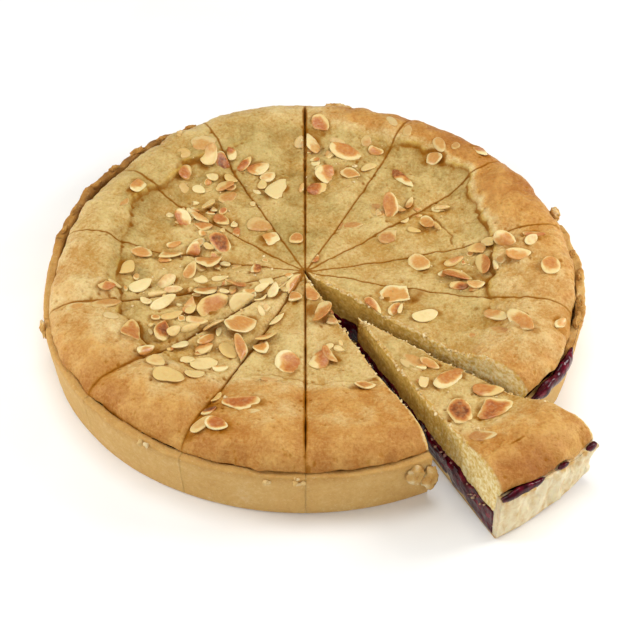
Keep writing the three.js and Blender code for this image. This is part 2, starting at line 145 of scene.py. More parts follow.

# How brown each slice is from 0 to 1: its bare rim, the middle of its crust, the foot of its risen edge and
# the outside of it. Shade is painted in the hollow inside that foot, lowering its browning so that it is
# darker.
# Besides real browning, these tables carry painted light: the middle at the back-left is browned less, which
# darkens it, as painted shade, and the outside of the crown in slices 9 and 10 is browned less, which makes
# it paler, as a painted highlight
RIM_BROWNING = (0.6, 0.62, 0.62, 0.58, 0.4, 0.34, 0.32, 0.3, 0.3, 0.3, 0.32, 0.4, 0.5, 0.55)
MIDDLE_BROWNING = (0.11, 0.16, 0.22, 0.22, 0.24, 0.24, 0.24, 0.24, 0.24, 0.22, 0.22, 0.22, 0.2, 0.18)
FOOT_BROWNING = (0.02, 0.1, 0.12, 0.3, 0.4, 0.46, 0.56, 0.54, 0.56, 0.38, 0.38, 0.68, 0.68, 0.52)
EDGE_BROWNING = (0.36, 0.28, 0.28, 0.46, 0.6, 0.66, 0.7, 0.7, 0.78, 0.5, 0.52, 0.74, 0.76, 0.58)
HOLLOW_SHADE = (0.04, 0.08, 0.1, 0.1, 0.06, 0.02, 0, 0, 0, 0.02, 0.05, 0.06, 0.06, 0.06)
HOLLOW_WIDTH = 22.0
BROWN_RISE = (-2, 9)
BROWN_OUTSIDE = (0.77, 0.98)
TIP_BROWNING = 0.3

# The step up to the risen edge in each slice, and how wide it is where the crust is whole and where it has
# cracked
STEP_RISE = (1.6, 2.4, 3.2, 3.3, 2.8, 1.8, 1.8, 1.4, 1.0, 1.0, 1.8, 0.9, 1.6, 2.0)
STEP_WIDTHS = (18.0, 0.9)
STEP_CRACKS = (0.1, 0.9)

# Bands along the crack at that step: how far beyond the foot of the risen edge, and how wide. The groove and
# a line at the foot are painted shade, and a wider band before the foot is a painted shadow. The rest is the
# radius whose noise makes the crack wander, and how whole the groove and the torn band are.
CRACK_GROOVE = (-0.2, 0.8)
CRACK_FOOT_SHADE = (0.1, 0.6)
CRACK_SHADOW = (-1.3, 1.6)
CRACK_TORN_LIT = (1.2, 0.8)
CRACK_RADIUS = 100.0
CRACK_WHOLE = 0.4
TORN_WHOLE = 0.5

# Depths in the crust in millimetres, how much shade is painted in each kind of mark from 0 to 1, and how
# much calmer the crust is at its outer edge
CRACK_DEPTH = 0.6
PIT_DEPTH = 0.5
PORE_DEPTH = 0.9
FOOT_SHADE_DARK = 0.5
SHADOW_DARK = 0.34
HAIRLINE_DARK = 0.8
PIT_DARK = 0.45
CUT_DARK = 0.8
EDGE_CALM = 0.5

# Foot of the risen edge: direction in degrees, radius, and how sharply it has cracked from 0 to 1
RING = (
    (90, 112, 0.1), (103, 108, 0.1), (115, 101, 0.5), (123, 100, 0.9), (127.5, 103, 0.9), (132, 101, 0.95),
    (136.6, 99, 0.95), (142, 100, 0.9), (149, 102.7, 0.9), (153.7, 101.5, 0.9), (159, 98.4, 0.85),
    (163, 97, 0.7), (168, 97, 0.5), (175, 95.3, 0.65), (186, 96.5, 0.6), (193.3, 95.6, 0.7), (200, 98, 0.9),
    (206, 94.8, 0.95), (213, 95.4, 0.8), (219, 93, 0.5), (232, 90, 0.35), (243, 88, 0.35), (246, 84, 0.4),
    (258, 77, 0.5), (269, 80, 0.45), (271, 82, 0.4), (283, 83, 0.4), (294, 88, 0.3), (300, 96, 0.15),
    (308, 98, 0.2), (320, 98, 0.2), (334, 100, 0.3), (346, 97, 0.5), (348, 95, 0.95), (354, 95.5, 0.95),
    (0, 96.5, 0.95), (12, 98, 0.9), (19, 99, 0.9), (24.5, 102, 0.9), (29.6, 101, 0.9), (36, 106, 0.9),
    (37.5, 111, 0.9), (39.7, 114, 0.95), (46.5, 110, 0.95), (50, 113.6, 0.95), (55.9, 112.3, 0.95),
    (61, 110, 0.9), (64, 108.5, 0.7), (70, 110, 0.3), (80, 112, 0.15),
)

# Fine cracks: from and to in degrees, radius and depth from 0 to 1
HAIRLINES = ((14, 36, 80, 0.8), (-11, 3, 59, 0.6), (303, 309, 120, 0.9), (152, 160, 82, 0.3))
HAIRLINE_WIDTH = 0.8
HAIRLINE_END = 2

# Where jam has come up: slice, middle and half width across the slice from 0 to 1, and how far it reaches
OOZES = ((8, 0.2, 0.22, 1.0), (8, 0.62, 0.06, 0.6), (8, 0.96, 0.08, 0.8), (9, 0.33, 0.36, 1.0))

# Jam that swells over the rim, for each such slice: how far out its middle lies, and half its thickness
# outwards and upwards. Its ends are shares of the slice's width.
JAM_LIPS = {8: (3.2, 1.9, 2.3), 9: (3.7, 2.7, 4.0)}
LIP_ENDS = (0.005, 0.995)
LIP_THINNEST = 0.03
LIP_RISE = 0.5
LIP_DRIP = 0.5
LIP_NOISE_REACH = 6

# Jam at the cut faces: how far it has risen, been smeared down over the pastry, and swollen out
JAM_RISE = 0.3
JAM_SMEAR = 2.8
JAM_LOWEST = 0.3
JAM_GAP = 0.1
JAM_SWELL = 0.8
JAM_SET_BACK = 0.1
JAM_BODY = (0.06, 0.96)
JAM_BODY_CURVE = 0.6

# Where the baked rim stands above or below its usual height: middle and half width in degrees, rise
RIM_RISES = ((136, 34, 3.6), (14, 3, 4), (-2, 12, 3), (-33, 16, -3))
RISE_FLAT = 0.6

# The case: which part of it counts as wall, as foot and as rim, and how rough, brown and chipped these are.
# Pairs of strengths are for a whole wall and for the torn wall of the drawn slice.
WALL_SHARES = (0.9, 0.97)
FOOT_SHARES = (0.9, 1)
WALL_FOOT = 2.5
RIM_BAND = (6, 1)
BARE_BELOW_SPILL = 1.6
WALL_GRAIN = (0.16, 0.9)
RIM_GRAIN = (0.5, 0.8)
DRAG = (0.6, 0.4)
CHIP_DEPTH = 1.2
KNOB_RISE = 0.2
WALL_BROWNING = 0.27
RIM_TOASTED = 0.1
TORN_PALENESS = 0.22
ROUND_CORNERS = 5
RIM_TOP_SHARES = (0.33, 0.66)
INSIDE_SHARES = (0, 0.08, 0.3, 0.65, 1)
UNDERSIDE_SHARE = 0.6
TIP_RADIUS = 0.05

# Scraps of pastry: slice, direction in degrees, height, half sizes along the wall, out and up
SCRAPS = (
    (7, -67.8, 21, 4.6, 1.8, 5),
    (7, -65, 16, 4.6, 2.4, 6.5),
    (4, 194.5, 27, 4, 1.7, 4),
    (11, 20, 29.5, 2.8, 2.8, 3.6),
    (13, 82, 30, 7, 2, 4),
)
SCRAP_STAND = 0.6
SCRAP_BROWNING = 0.3

# Small lumps along the bare rim: direction in degrees, height, half sizes along the rim, out and up
RIM_LUMPS = (
    (-14, 30.5, 5, 1.8, 3.6), (-9, 32.5, 4, 1.6, 2.6), (-1, 33, 3.5, 1.5, 2), (6, 31.5, 3, 1.4, 2.2),
    (112, 31.5, 3, 1.5, 1.8), (118, 32.5, 4, 1.6, 1.8), (126, 33, 3, 1.6, 1.8), (133, 33.2, 4.5, 1.7, 2),
    (141, 33, 3, 1.5, 1.7), (148, 32.8, 4, 1.6, 1.8), (157, 31.5, 3.5, 1.5, 1.6), (164, 30.5, 3, 1.4, 1.6),
    (68, 30, 3.5, 1.5, 1.8), (41, 30, 3, 1.4, 1.6),
)
LUMP_INSET = 2.6
LUMP_BROWNING = 0.5

# Flaked almonds: their shape, how they curl, lie on the crust and on each other, how their toasted heart
# fades out, and the butter stain and painted contact shadow round them
FLAKE_SEED = 20
FLAKE_THICKNESS = 1.3
FLAKE_RIM_CURVE = 6
FLAKE_BROAD_END = 0.75
FLAKE_POINTED_END = 0.6
FLAKE_POINT_REACH = 0.75
BROKEN_SHARE = 0.36
FULL_CURL_LENGTH = 14
BOW_MIDDLE = 0.3
SUNK_CURL = 0.3
FLAKE_TILT = 0.16
FLAKE_BED = 0.3
FLAKE_REST = 0.35
FLAKE_INSET = 0.1
FLAKE_STACK = 0.8
FLAKE_LEAN = 0.35
LIFT_OVERLAP = (0.05, 0.6)
LEAN_OVERLAP = (0.05, 0.4)
HEART_SIDE = 1.2
HEART_EDGE = (0.35, 0.9)
FLAKE_STAIN_AND_SHADOW = 0.36
FLAKE_STAIN_AND_SHADOW_WIDTH = 1.7

# Small bits of almond between the flakes: middle, spread, number
BITS = (
    (-50, -15, 46, 46), (-48, 50, 30, 16), (10, 85, 22, 8), (90, 5, 24, 10), (60, 45, 22, 8),
    (15, -40, 16, 6),
)

# Each flake about the cuts' meeting point before the slice is drawn out: its middle, length, width, the
# direction of its pointed end in degrees, how toasted it is from 0 to 1, and 1 if it has sunk into the crust
FLAKES = (
    # Slice 1
    (-4.5, 25, 9, 8, 90, 0.55, 0), (-20, 75.5, 10, 7, 40, 0.3, 0), (-23, 68, 9, 5, 90, 0, 0),
    (-14.5, 65, 20, 10, 65, 0.05, 0), (-25.5, 82, 13, 10, 30, 0.8, 0), (-32.5, 85, 12, 5.5, 55, 0.85, 0),
    (-40, 91, 11, 6, 95, 0.8, 0), (-2.5, 104, 9, 6, 80, 0.1, 1),
    # Slice 2
    (-45, 86, 12, 9, 100, 0.9, 0), (-51.5, 86.5, 13, 9, 70, 0.3, 0), (-55, 94.5, 14, 10, 20, 0.45, 1),
    (-64, 75.5, 10, 8, 70, 0.75, 0), (-64.5, 66, 8, 6, -60, 0.1, 1), (-42.5, 67, 12, 9, -20, 0.45, 0),
    (-41, 59, 11, 8, 30, 0.6, 1), (-49.5, 74, 7, 6, 40, 0.1, 0), (-39.5, 74, 9, 6, -50, 0.1, 0),
    (-51, 51, 12, 7, 75, 0.05, 0), (-43.5, 40.5, 11, 8, -60, 0.75, 0), (-37, 37, 6, 3.5, 80, 0.2, 0),
    (-23.5, 36.5, 14, 10, -15, 0.5, 1), (-17.5, 26, 13, 9, 35, 0.45, 0), (-65, 87, 10, 7, 0, 0.05, 1),
    (-59, 49.5, 8, 3, -30, 0.5, 0), (-53, 65, 8, 4, 10, 0.05, 1),
    # Slice 3
    (-88, 61, 14, 8, 60, 0.6, 0), (-56, 43, 16, 7, -45, 0.35, 0), (-63, 39, 15, 7, -60, 0.75, 0),
    (-53.5, 34.5, 11, 6, -15, 0.6, 0), (-42.5, 32, 6, 3, 60, 0, 0), (-43.5, 21, 16, 10, -60, 0.9, 0),
    (-55, 22.5, 9, 6, 60, 0.35, 0), (-49.5, 17.5, 7, 3.5, -40, 0.05, 0), (-57.5, 15.5, 12, 7, 70, 0.7, 0),
    (-95, 45, 9, 3.5, 65, 0.4, 1),
    # Slice 4
    (-85, 16, 13, 10, -40, 0.5, 0), (-71, 14, 16, 9, -5, 0.4, 0), (-91, -0.5, 19, 8, 88, 0.02, 0),
    (-84, -12, 13, 8, 20, 0.02, 0), (-58.5, 0.5, 12, 7, 70, 0.4, 0), (-49, 8, 15, 14, 10, 0.6, 0),
    (-53, -5.5, 8, 6, -20, 0.05, 0), (-43, -5, 9, 4, 0, 0.05, 0), (-71, -7.5, 11, 8, 30, 0.3, 0),
    (-67, -13, 11, 4, 10, 0.3, 0), (-75.5, -16, 10, 3.5, 12, 0.1, 0), (-36, 6, 8, 5, 20, 0.3, 1),
    (-24.5, 3, 12, 5.5, 80, 0.95, 0), (-100.5, -16.5, 9, 6, 10, 0.65, 0), (-97, -13, 9, 3.5, 5, 0.05, 0),
    # Slice 5
    (-34.5, -9.7, 14, 9, 35, 0.75, 0), (-50, -14.5, 16, 10, 50, 0.7, 0), (-71.5, -23.5, 14, 6, 30, 0.15, 0),
    (-57.5, -27.5, 12, 6, 75, 0.4, 0), (-46.5, -25.5, 18, 11, 40, 0.55, 0), (-54, -36.5, 12, 6, -10, 0.3, 0),
    (-70.5, -43.5, 19, 9, 65, 0.9, 0), (-65.5, -45.5, 8, 5, 40, 0.1, 0), (-86.5, -50.5, 24, 10, 88, 0.65, 0),
    (-100, -27, 16, 9, 5, 0.55, 1), (-66.5, -33, 12, 5, 10, 0.15, 0), (-75, -34, 5, 4, 0, 0.5, 0),
    (-57, -42, 11, 4, 25, 0.1, 0), (-18.5, -6, 9, 7, 20, 0.1, 0), (-21.5, -12, 9, 4, 40, 0.1, 0),
    (-28, -16.5, 7, 4, -10, 0.5, 0), (-31, -23.5, 15, 11, 20, 0.12, 0), (-79, -60, 12, 5, 40, 0.55, 0),
    (-116, -30, 9, 6, 20, 0.5, 1), (-97, -39, 8, 5, -20, 0.1, 1),
    # Slice 6
    (-45.5, -39.7, 12, 10.5, 40, 0.25, 0), (-62, -53, 10, 9, 60, 0.03, 0), (-50, -56, 10, 7, 30, 0.55, 0),
    (-49, -50, 11, 5.5, 45, 0.55, 0), (-32, -40.5, 19, 12, 30, 0.5, 0), (-37.5, -58, 13, 8, -60, 0.02, 0),
    (-31, -58.5, 20, 7, -68, 0.6, 0), (-50, -67.5, 15, 9, 10, 0.1, 0), (-41.5, -71, 8, 5, 10, 0.5, 0),
    (-73, -72, 11, 8, -40, 0.2, 0), (-66.5, -82.5, 16, 11, 0, 0.1, 0), (-54, -77.5, 10, 8.5, 20, 0.03, 0),
    (-22, -20, 7, 4, 30, 0.15, 0), (-16, -16, 9, 7, 60, 0.15, 0), (-4.5, -9, 14, 8, 65, 0.5, 0),
    (-58, -65, 8, 5, -20, 0.1, 0),
    # Slice 7
    (-14.5, -33, 12, 6, 60, 0, 0), (-22, -55, 13, 8, -65, 0.55, 0), (-21, -48, 14, 11, 20, 0.5, 0),
    (-8.5, -67, 15, 12, -75, 0.7, 0), (-6, -43.5, 9, 4, -15, 0.02, 1), (-17, -81, 9, 5, -10, 0.35, 1),
    (-47, -103.5, 8.5, 5.5, 10, 1, 0), (-31, -100.5, 21, 10, 5, 0.8, 0), (-50, -114, 13, 7, 45, 0.25, 0),
    (-42, -115.5, 12, 9, -30, 0.8, 0), (-25, -107.5, 8, 3, 0, 0.4, 1), (-5.5, -18, 10, 7, -30, 0.5, 0),
    (-43, -93, 9, 3.5, 65, 0.15, 0),
    # Slice 8
    (3, -15, 14, 8, -70, 0.55, 0), (8, -31.5, 18, 13, -65, 0.6, 0), (7, -64.5, 12, 11, 40, 0.7, 0),
    (12, -62, 12, 6, -60, 0.6, 0), (12, -54.5, 5, 4, 30, 0.1, 0), (17, -56.5, 6, 4, -15, 0.1, 0),
    (29.5, -84, 13, 8, 35, 0.65, 0),
    # Slice 9
    (25.5, -33, 16, 11, -60, 0.45, 1), (30, -47, 15, 5, 75, 0.1, 0), (43, -45.5, 20, 9, 42, 0.65, 0),
    (61, -56, 17, 9, -10, 0.6, 0), (62, -69, 21, 12, 20, 0.85, 0), (45, -70, 19, 13, 85, 0.92, 0),
    (54.5, -90, 13, 8, -10, 0.8, 1), (34, -35, 11, 6, -45, 0.4, 0),
    # Slice 10
    (34, -25, 13, 5, -55, 0.7, 0), (48, -16.5, 22, 12, -5, 0.45, 0), (45, -27, 10, 6, 60, 0.75, 0),
    (47.7, -28, 8, 2.5, 75, 0, 0), (60, -33, 14, 8, 20, 0.1, 0), (95.5, -36, 15, 7, -40, 0.4, 0),
    (108, -45, 19, 10, -55, 0.55, 0), (96.5, -49, 15, 7, -28, 0.9, 1), (83, -49, 4, 3, 0, 0.6, 1),
    (128, -43.5, 10, 6, 60, 0.35, 0),
    # Slice 11
    (59, 7, 14, 11, -50, 0.4, 0), (78.5, -11, 10, 6, -15, 0.85, 0), (78, -3, 17, 10, -20, 0.75, 0),
    (87, -12.5, 10, 7, 10, 0.35, 0), (89, 14, 12, 8, 45, 0.3, 0), (91.5, 1, 17, 8, -75, 0.65, 0),
    (76.5, 8, 11, 5, 20, 0.45, 0), (95.5, 18, 11, 5, -35, 0.1, 0), (103.5, 15.5, 13, 8, -25, 0.55, 0),
    (109, 3.5, 14, 8, 10, 0.45, 0), (100.5, 3, 6, 6, 0, 0.5, 1), (125.5, -4.5, 14, 10, 70, 0.6, 0),
    (119, 19, 12, 4, 0, 0.7, 0), (117, 14, 8, 6, 40, 0.2, 0),
    # Slice 12
    (44, 27.5, 14, 8, 25, 0.75, 1), (52.5, 41, 7, 3.5, 60, 0.15, 0), (57, 32, 7.5, 4.5, -20, 0.05, 0),
    (64, 38, 14, 7, -70, 0.55, 0), (70, 50, 12, 3.5, -10, 0.2, 0),
    # Slice 13
    (52.5, 73.5, 18, 6, -57, 0.9, 0), (38.5, 47, 13, 8, -75, 0.5, 1), (45.5, 46, 19, 8, -82, 0.6, 0),
    (55.5, 53, 10, 3.5, 70, 0.45, 0), (70, 85, 11, 8, -20, 0.45, 0), (73, 93, 13, 7, -80, 0.45, 1),
    (82, 93.5, 8, 5, 80, 0.4, 1), (95, 91, 12, 7, 110, 0.7, 0), (21.5, 37, 18, 7, -8, 0.65, 1),
    (56, 106, 9, 5, 80, 0.2, 1),
    # Slice 14
    (8.5, 114.5, 14, 9, -70, 0.8, 0), (4, 101, 18, 10, -80, 0.35, 0), (22, 94.5, 18, 11, -15, 0.6, 0),
    (18, 102.5, 9, 4, -20, 0.1, 1), (33.5, 102, 8, 6, -70, 0.35, 1), (39, 95, 8.5, 6, -30, 0.6, 0),
    (11, 77, 14, 11, 60, 0.65, 0), (24.5, 77.5, 15, 8, -50, 0.5, 0), (35, 83, 10, 5, 30, 0.1, 0),
    (6.5, 66.5, 11, 9, 30, 0.85, 0), (48, 114, 11, 5, -70, 0.1, 1), (4.5, 9.3, 7, 5, 60, 0.7, 0),
)

# Fineness of the meshes
MIDDLE_ROWS = 46
RING_ROWS = 84
EDGE_ROWS = 24
CRUST_COLUMNS = 68
WALL_ROWS = 26
WALL_COLUMNS = 60
TORN_WALL_ROWS = 56
TORN_WALL_COLUMNS = 150
FACE_LEVELS = 22
HIDDEN_LEVELS = 5
JAM_ROWS = 110
JAM_COLUMNS = 24
JAM_LEVELS = 16
LIP_COLUMNS = 90
LIP_AROUND = 22
FLAKE_RINGS = (0.3, 0.55, 0.75, 0.88, 0.96, 1.0)
FLAKE_CORNERS = 28
SCRAP_FINENESS = 4
CRUMB_FINENESS = 2

# Noise that makes things rough: its size in millimetres or as a share, how wide its bumps are, how many
# layers of finer bumps it has, and its seed
ROUGH = {
    "crack": (1.7, 6.0, 4, 31),
    "crack_breaks": (1.2, 8.0, 1, 5),
    "hairline": (1.6, 7.0, 2, 35),
    "torn_edge": (1.0, 4.0, 1, 14),
    "crust_swells": (0.8, 19.0, 1, 2),
    "crust_lumps": (0.75, 8.0, 3, 3),
    "crust_grain": (0.25, 2.4, 2, 8),
    "browning_patches": (0.06, 24.0, 3, 21),
    "browning_spots": (0.04, 5.0, 1, 23),
    "butter_and_shadow": (1.0, 5.0, 2, 25),
    "sponge_edge": (1.0, 11.0, 4, 41),
    "seam": (0.5, 7.0, 3, 43),
    "kerf": (0.5, 5.0, 3, 45),
    "crumbled_edge": (1.0, 4.0, 3, 47),
    "crumb": (0.35, 4.0, 3, 51),
    "jam_top": (1.3, 9.0, 2, 61),
    "jam_smear": (1.8, 8.0, 2, 63),
    "jam_lumps": (0.7, 6.0, 3, 66),
    "jam_lip": (0.3, 7.0, 2, 71),
    "wall_swells": (0.55, 16.0, 1, 81),
    "wall_grain": (1.0, 4.0, 4, 82),
    "bare_rim": (1.1, 7.0, 4, 84),
    "rim_knobs": (1.5, 8.0, 4, 85),
    "wall_patches": (0.035, 14.0, 3, 86),
    "rim_grain": (1.0, 8.0, 3, 87),
    "rim_spots": (0.2, 4.0, 3, 88),
    "torn_spots": (0.12, 3.0, 3, 89),
    "scrap_lumps": (0.22, 0.9, 2, 91),
    "scrap_spots": (0.25, 3.0, 1, 92),
    "scrap_grain": (0.34, 0.4, 3, 93),
    "crumb_lumps": (0.55, 0.9, 3, 95),
    "flake_chips": (0.1, 6.0, 2, 0),
    "flake_ripple": (0.15, 3.5, 1, 0),
    "flake_spots": (0.2, 4.0, 3, 9),
}

# Pores: how far apart in millimetres, their seed, and how near to a pore's middle it starts and is deepest
PORES = {
    "crust_pits": (5.0, 12, 0.72, 0.92),
    "crumb_pores": (3.0, 55, 0.7, 1.0),
    "wall_chips": (9.0, 83, 0.55, 0.7),
}

# Crumbs on the crust: middle, spread, number and size. There are others in the drawn slice's jam, along the
# open cuts, and on the case below the rim: direction in degrees and number.
CRUMBS = (
    (27, 84.5, 1.5, 3, 1.8), (72.5, 44, 1, 2, 2), (38.5, -19.5, 1, 2, 2.2), (-68.5, 102, 2, 4, 2.2),
    (-37, -95, 2, 4, 1.8), (18, -70, 1.5, 2, 1.2), (53, -84, 4, 6, 1.5), (-48, -20, 42, 60, 1.0),
    (-45, 60, 30, 20, 0.9), (20, 90, 25, 14, 0.9), (85, 5, 25, 16, 0.9), (45, -60, 20, 12, 0.9),
)
CRUMB_SEED = 5
JAM_CRUMBS = 26
EDGE_CRUMBS = 60
WALL_CRUMBS = ((269, 5), (262, 3), (236, 2))
JAM_CRUMB_STAND = 1.0
WALL_CRUMB_STAND = 0.1

# Colours. Those with a number before them are for that much browning or noise, from 0 to 1.
# Crust colours for dips and for bumps: the darker set is painted shade in the dips and the paler set painted
# light on the bumps, mixed by the crust's relief and by noise that is also real mottle
SHADED_MOTTLE_TINTS = (
    (0.0, "82580a"), (0.2, "a47010"), (0.4, "ae7614"), (0.6, "a6620e"), (0.8, "925008"), (1.0, "642c04"),
)
LIT_MOTTLE_TINTS = (
    (0.0, "b49e5c"), (0.2, "d8c080"), (0.4, "e4cc92"), (0.6, "d6a85e"), (0.8, "be8440"), (1.0, "8e5c24"),
)
# Painted shade in grooves, cracks, pits, cut lines, hidden sides and kerf walls; round the almonds it also
# stands for butter stain
SHADE_AND_BUTTER_TINT = "8a5002"
CRUMB_TINTS = ((0.25, "b48a36"), (0.5, "d0ac58"), (0.75, "ecdcaa"))
PASTRY_TINTS = ((0.0, "eee0bb"), (0.25, "d0a763"), (0.5, "b8843c"), (0.75, "96662c"), (1.0, "6c4a20"))
PASTRY_CRUMB_TINT = "ead8ab"
JAM_TINTS = ((0.3, "240209"), (0.55, "4a0616"), (0.75, "86102c"))
PALE_ALMOND_TINTS = ("e8d59c", "d8b46a")
WARM_ALMOND_TINTS = ("d09548", "c0803c")
BROWN_ALMOND_TINT = "b06224"
DARK_ALMOND_TINT = "682e0a"
SUNK_ALMOND_TINT = "b88d4c"
ALMOND_STREAK_TINT = "dfc48a"
LOOSE_CRUMB_TINTS = ("ecd9a8", "cfa860")
CRUMB_SPOT_TINT = "c4985a"
STAINED_CRUMB_TINT = "6e3348"
FLOOR_TINTS = ((0.4, "f6f5f3"), (0.6, "f8f8f6"))

# Light goes a little way into crust, pastry and nuts before it comes out again
SOFT_INSIDE = {
    "Subsurface_Weight": 0.15, "Subsurface_Radius": (1.0, 0.45, 0.15), "Subsurface_Scale": 2.5 * MM,
}

# The floor under the tart, half its width and how far below, in metres
FLOOR_HALF = 3.0
FLOOR_BELOW = 0.0002

# Lights: place and size in metres, power in watts
LIGHTS = (
    ("top_softbox", (0.0, 0.1, 1.5), 0.8, 7.3),
    ("left_softbox", (-0.66, -0.02, 0.4), 0.35, 3.0),
    ("right_softbox", (0.64, 0.1, 0.38), 0.35, 3.5),
    ("front_softbox", (0.15, -1.2, 0.8), 0.9, 5.7),
)
WORLD_LIGHT = 0.29
WORLD_TINT = (1.0, 0.98, 0.94, 1.0)

# The camera stands in front of the tart and looks down on it. It aims at a place on the tart's axis, given
# by how far to the right of it, how high up it, and how far above it in the picture.
CAMERA_ELEVATION = math.radians(43.64)
CAMERA_DISTANCE = 1200.0
CAMERA_AIM = (5.07, 3.0, -2.32)
FOCAL_PIXELS = 2273.0
IMAGE_WIDTH = 640
SENSOR_WIDTH = 36.0

# The cuts' meeting point in the frame, from the corner of the jam that lies against the first cut
first_middle = FIRST_CUT + SLICE_ANGLE / 2
jam_low, jam_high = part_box("jam_01")
MEETING = np.array((jam_high.x / MM, jam_low.y / MM))
MEETING -= SPREAD * np.array((math.cos(first_middle), math.sin(first_middle)))
TART_AXIS = MEETING - CUT_CENTRE


def lerp(a, b, share):
    return a + (b - a) * share


def smoothstep(value, low, high):
    share = np.clip((value - low) / (high - low), 0, 1)
    return share * share * (3 - 2 * share)


class Draws:
    """Numbers from 0 to 1 that come out the same on every run."""

    def __init__(self, seed):
        self.state = seed

    def __call__(self, low=0.0, high=1.0):
        self.state = self.state * 16807 % 2147483647
        return low + (high - low) * self.state / 2147483647


def cell_values(cells, seed):
    """A number from 0 to 1 for each cell of a lattice."""
    x, y, z = np.moveaxis(cells.astype(np.int64), -1, 0)
    mixed = (x * 374761393 + y * 668265263 + z * 1442695041 + seed * 974634777) & 0xFFFFFFFF
    mixed = ((mixed ^ (mixed >> 13)) * 1274126177) & 0xFFFFFFFF
    return ((mixed ^ (mixed >> 16)) & 0xFFFFFF) / 0xFFFFFF


def smooth_noise(points, cell, seed):
    """Soft bumps about as wide as the cell, from -1 to 1."""
    scaled = np.asarray(points) / cell
    corner = np.floor(scaled)
    share = scaled - corner
    share = share * share * (3 - 2 * share)
    total = 0
    for step in product((0, 1), repeat=3):
        weight = np.prod(np.where(step, share, 1 - share), axis=-1)
        total = total + weight * cell_values(corner + step, seed)
    return 2 * total - 1


def rough_noise(points, cell, layers, seed):
    """Bumps on bumps, each layer half as wide and half as high as the one before."""
    total = 0
    for layer in range(layers):
        total = total + smooth_noise(points, cell / 2**layer, seed + layer) / 2**layer
    return total


def pore_depth(points, cell, seed):
    """How near each point is to a scattered pore's middle, from 0 to 1."""
    scaled = np.asarray(points) / cell
    base = np.floor(scaled)
    nearest = np.full(scaled.shape[:-1], 4.0)
    for step in product((-1, 0, 1), repeat=3):
        cells = base + step
        middle = np.stack([cell_values(cells, seed + axis) for axis in range(3)], axis=-1)
        nearest = np.minimum(nearest, np.linalg.norm(cells + middle - scaled, axis=-1))
    return np.clip(1 - nearest, 0, 1)


def rough(name, points, seed_shift=0):
    """The named roughness at the points."""
    size, cell, layers, seed = ROUGH[name]
    return size * rough_noise(points, cell, layers, seed + seed_shift)


def pores(name, points):
    """The named pores at the points, from 0 to 1 inside them."""
    cell, seed, low, high = PORES[name]
    return smoothstep(pore_depth(points, cell, seed), low, high)


def bell(value, middle, width):
    """1 at the middle of a band, and soon 0 outside it."""
    return np.exp(-(((value - middle) / width) ** 2))


def waves(rows, angle):
    return sum(size * np.sin(count * angle + phase) for size, count, phase in rows)


def around_tart(values, angle):
    """A value given for the middle of each slice, blended round the tart."""
    turns = (np.asarray(angle) - FIRST_CUT) / SLICE_ANGLE - 0.5
    before = np.floor(turns).astype(int)
    values = np.asarray(values, float)
    return lerp(values[before % SLICE_COUNT], values[(before + 1) % SLICE_COUNT], turns - before)


def reach(radius, angle):
    """How far the tart reaches from the cuts' meeting point, for a radius about its axis."""
    along = -(CUT_CENTRE[0] * np.cos(angle) + CUT_CENTRE[1] * np.sin(angle))
    round_edge = along + np.sqrt(radius**2 - CUT_CENTRE @ CUT_CENTRE + along**2)
    return round_edge + around_tart(BULGE, angle)


def rim_height(angle):
    degrees = np.degrees(angle)
    bare = 1 - around_tart(SPILL, angle)
    rise = bare * waves(RIM_WAVES, angle)
    for middle, half_width, most in RIM_RISES:
        offset = np.abs((degrees - middle + 180) % 360 - 180)
        rise = rise + most * (1 - smoothstep(offset / half_width, RISE_FLAT, 1))
    return RIM_HEIGHT + bare * rise


def edge_height(angle):
    """Height of the sponge's outer edge: on the rim where it spills over, inside the case elsewhere."""
    over = smoothstep(around_tart(SPILL, angle), 0, SPILL_ON_RIM)
    return lerp(RIM_HEIGHT, rim_height(angle), over) + CLEARANCE


def wall_inside(height, angle):
    rising = np.minimum(height / rim_height(angle), 1)
    return reach(BASE_RADIUS - WALL + (RIM_RADIUS - BASE_RADIUS) * rising, angle)


def slice_angles(index):
    start = FIRST_CUT + index * SLICE_ANGLE
    return start, start + SLICE_ANGLE


def sponge_angles(index):
    start, end = slice_angles(index)
    following = EXTRA_CUT[(index + 1) % SLICE_COUNT]
    return start + math.radians(EXTRA_CUT[index]), end - math.radians(following)


def across_slice(columns, start, end):
    """Directions across a slice, closer together beside its cuts."""
    even = np.linspace(0, 1, columns)
    bunched = np.sin((even - 0.5) * math.pi) / 2 + 0.5
    return lerp(start, end, lerp(even, bunched, 0.5))


def level_points(flat):
    """Points at height 0 over places given by two coordinates."""
    return np.c_[flat, np.zeros(len(flat))]


def polar(radius, angle, height):
    return np.stack(np.broadcast_arrays(radius * np.cos(angle), radius * np.sin(angle), height), axis=-1)


def turn_level(x, y, angle):
    """Level coordinates turned anticlockwise by the angle."""
    return x * math.cos(angle) - y * math.sin(angle), x * math.sin(angle) + y * math.cos(angle)


def stand_slice(points, index):
    """Points of a slice, given about the cuts' meeting point, where the slice stands in the frame."""
    middle = FIRST_CUT + (index + 0.5) * SLICE_ANGLE
    shift = MEETING + SPREAD * np.array((math.cos(middle), math.sin(middle)))
    turn = 0.0
    if index == DRAWN:
        shift = shift + DRAWN_MOVE
        turn = DRAWN_TURN
    x, y, z = np.moveaxis(np.asarray(points, float), -1, 0)
    x, y = turn_level(x, y, turn)
    return np.stack((x + shift[0], y + shift[1], z), axis=-1)


def grid_faces(rows, columns, start=0, closed=False):
    """Four-cornered faces between the rows of a grid of vertices."""
    row = np.arange(rows - 1)[:, None] * columns + start
    column = np.arange(columns if closed else columns - 1)[None, :]
    following = (column + 1) % columns
    corners = (row + column, row + columns + column, row + columns + following, row + following)
    return np.stack(corners, axis=-1).reshape(-1, 4)


def tube_faces(rows, around):
    """Faces of a tube whose rows each go once round it, with both ends closed."""
    last = (rows - 1) * around
    caps = [list(range(around)), list(range(last, last + around))[::-1]]
    return grid_faces(rows, around, closed=True)[:, ::-1].tolist() + caps


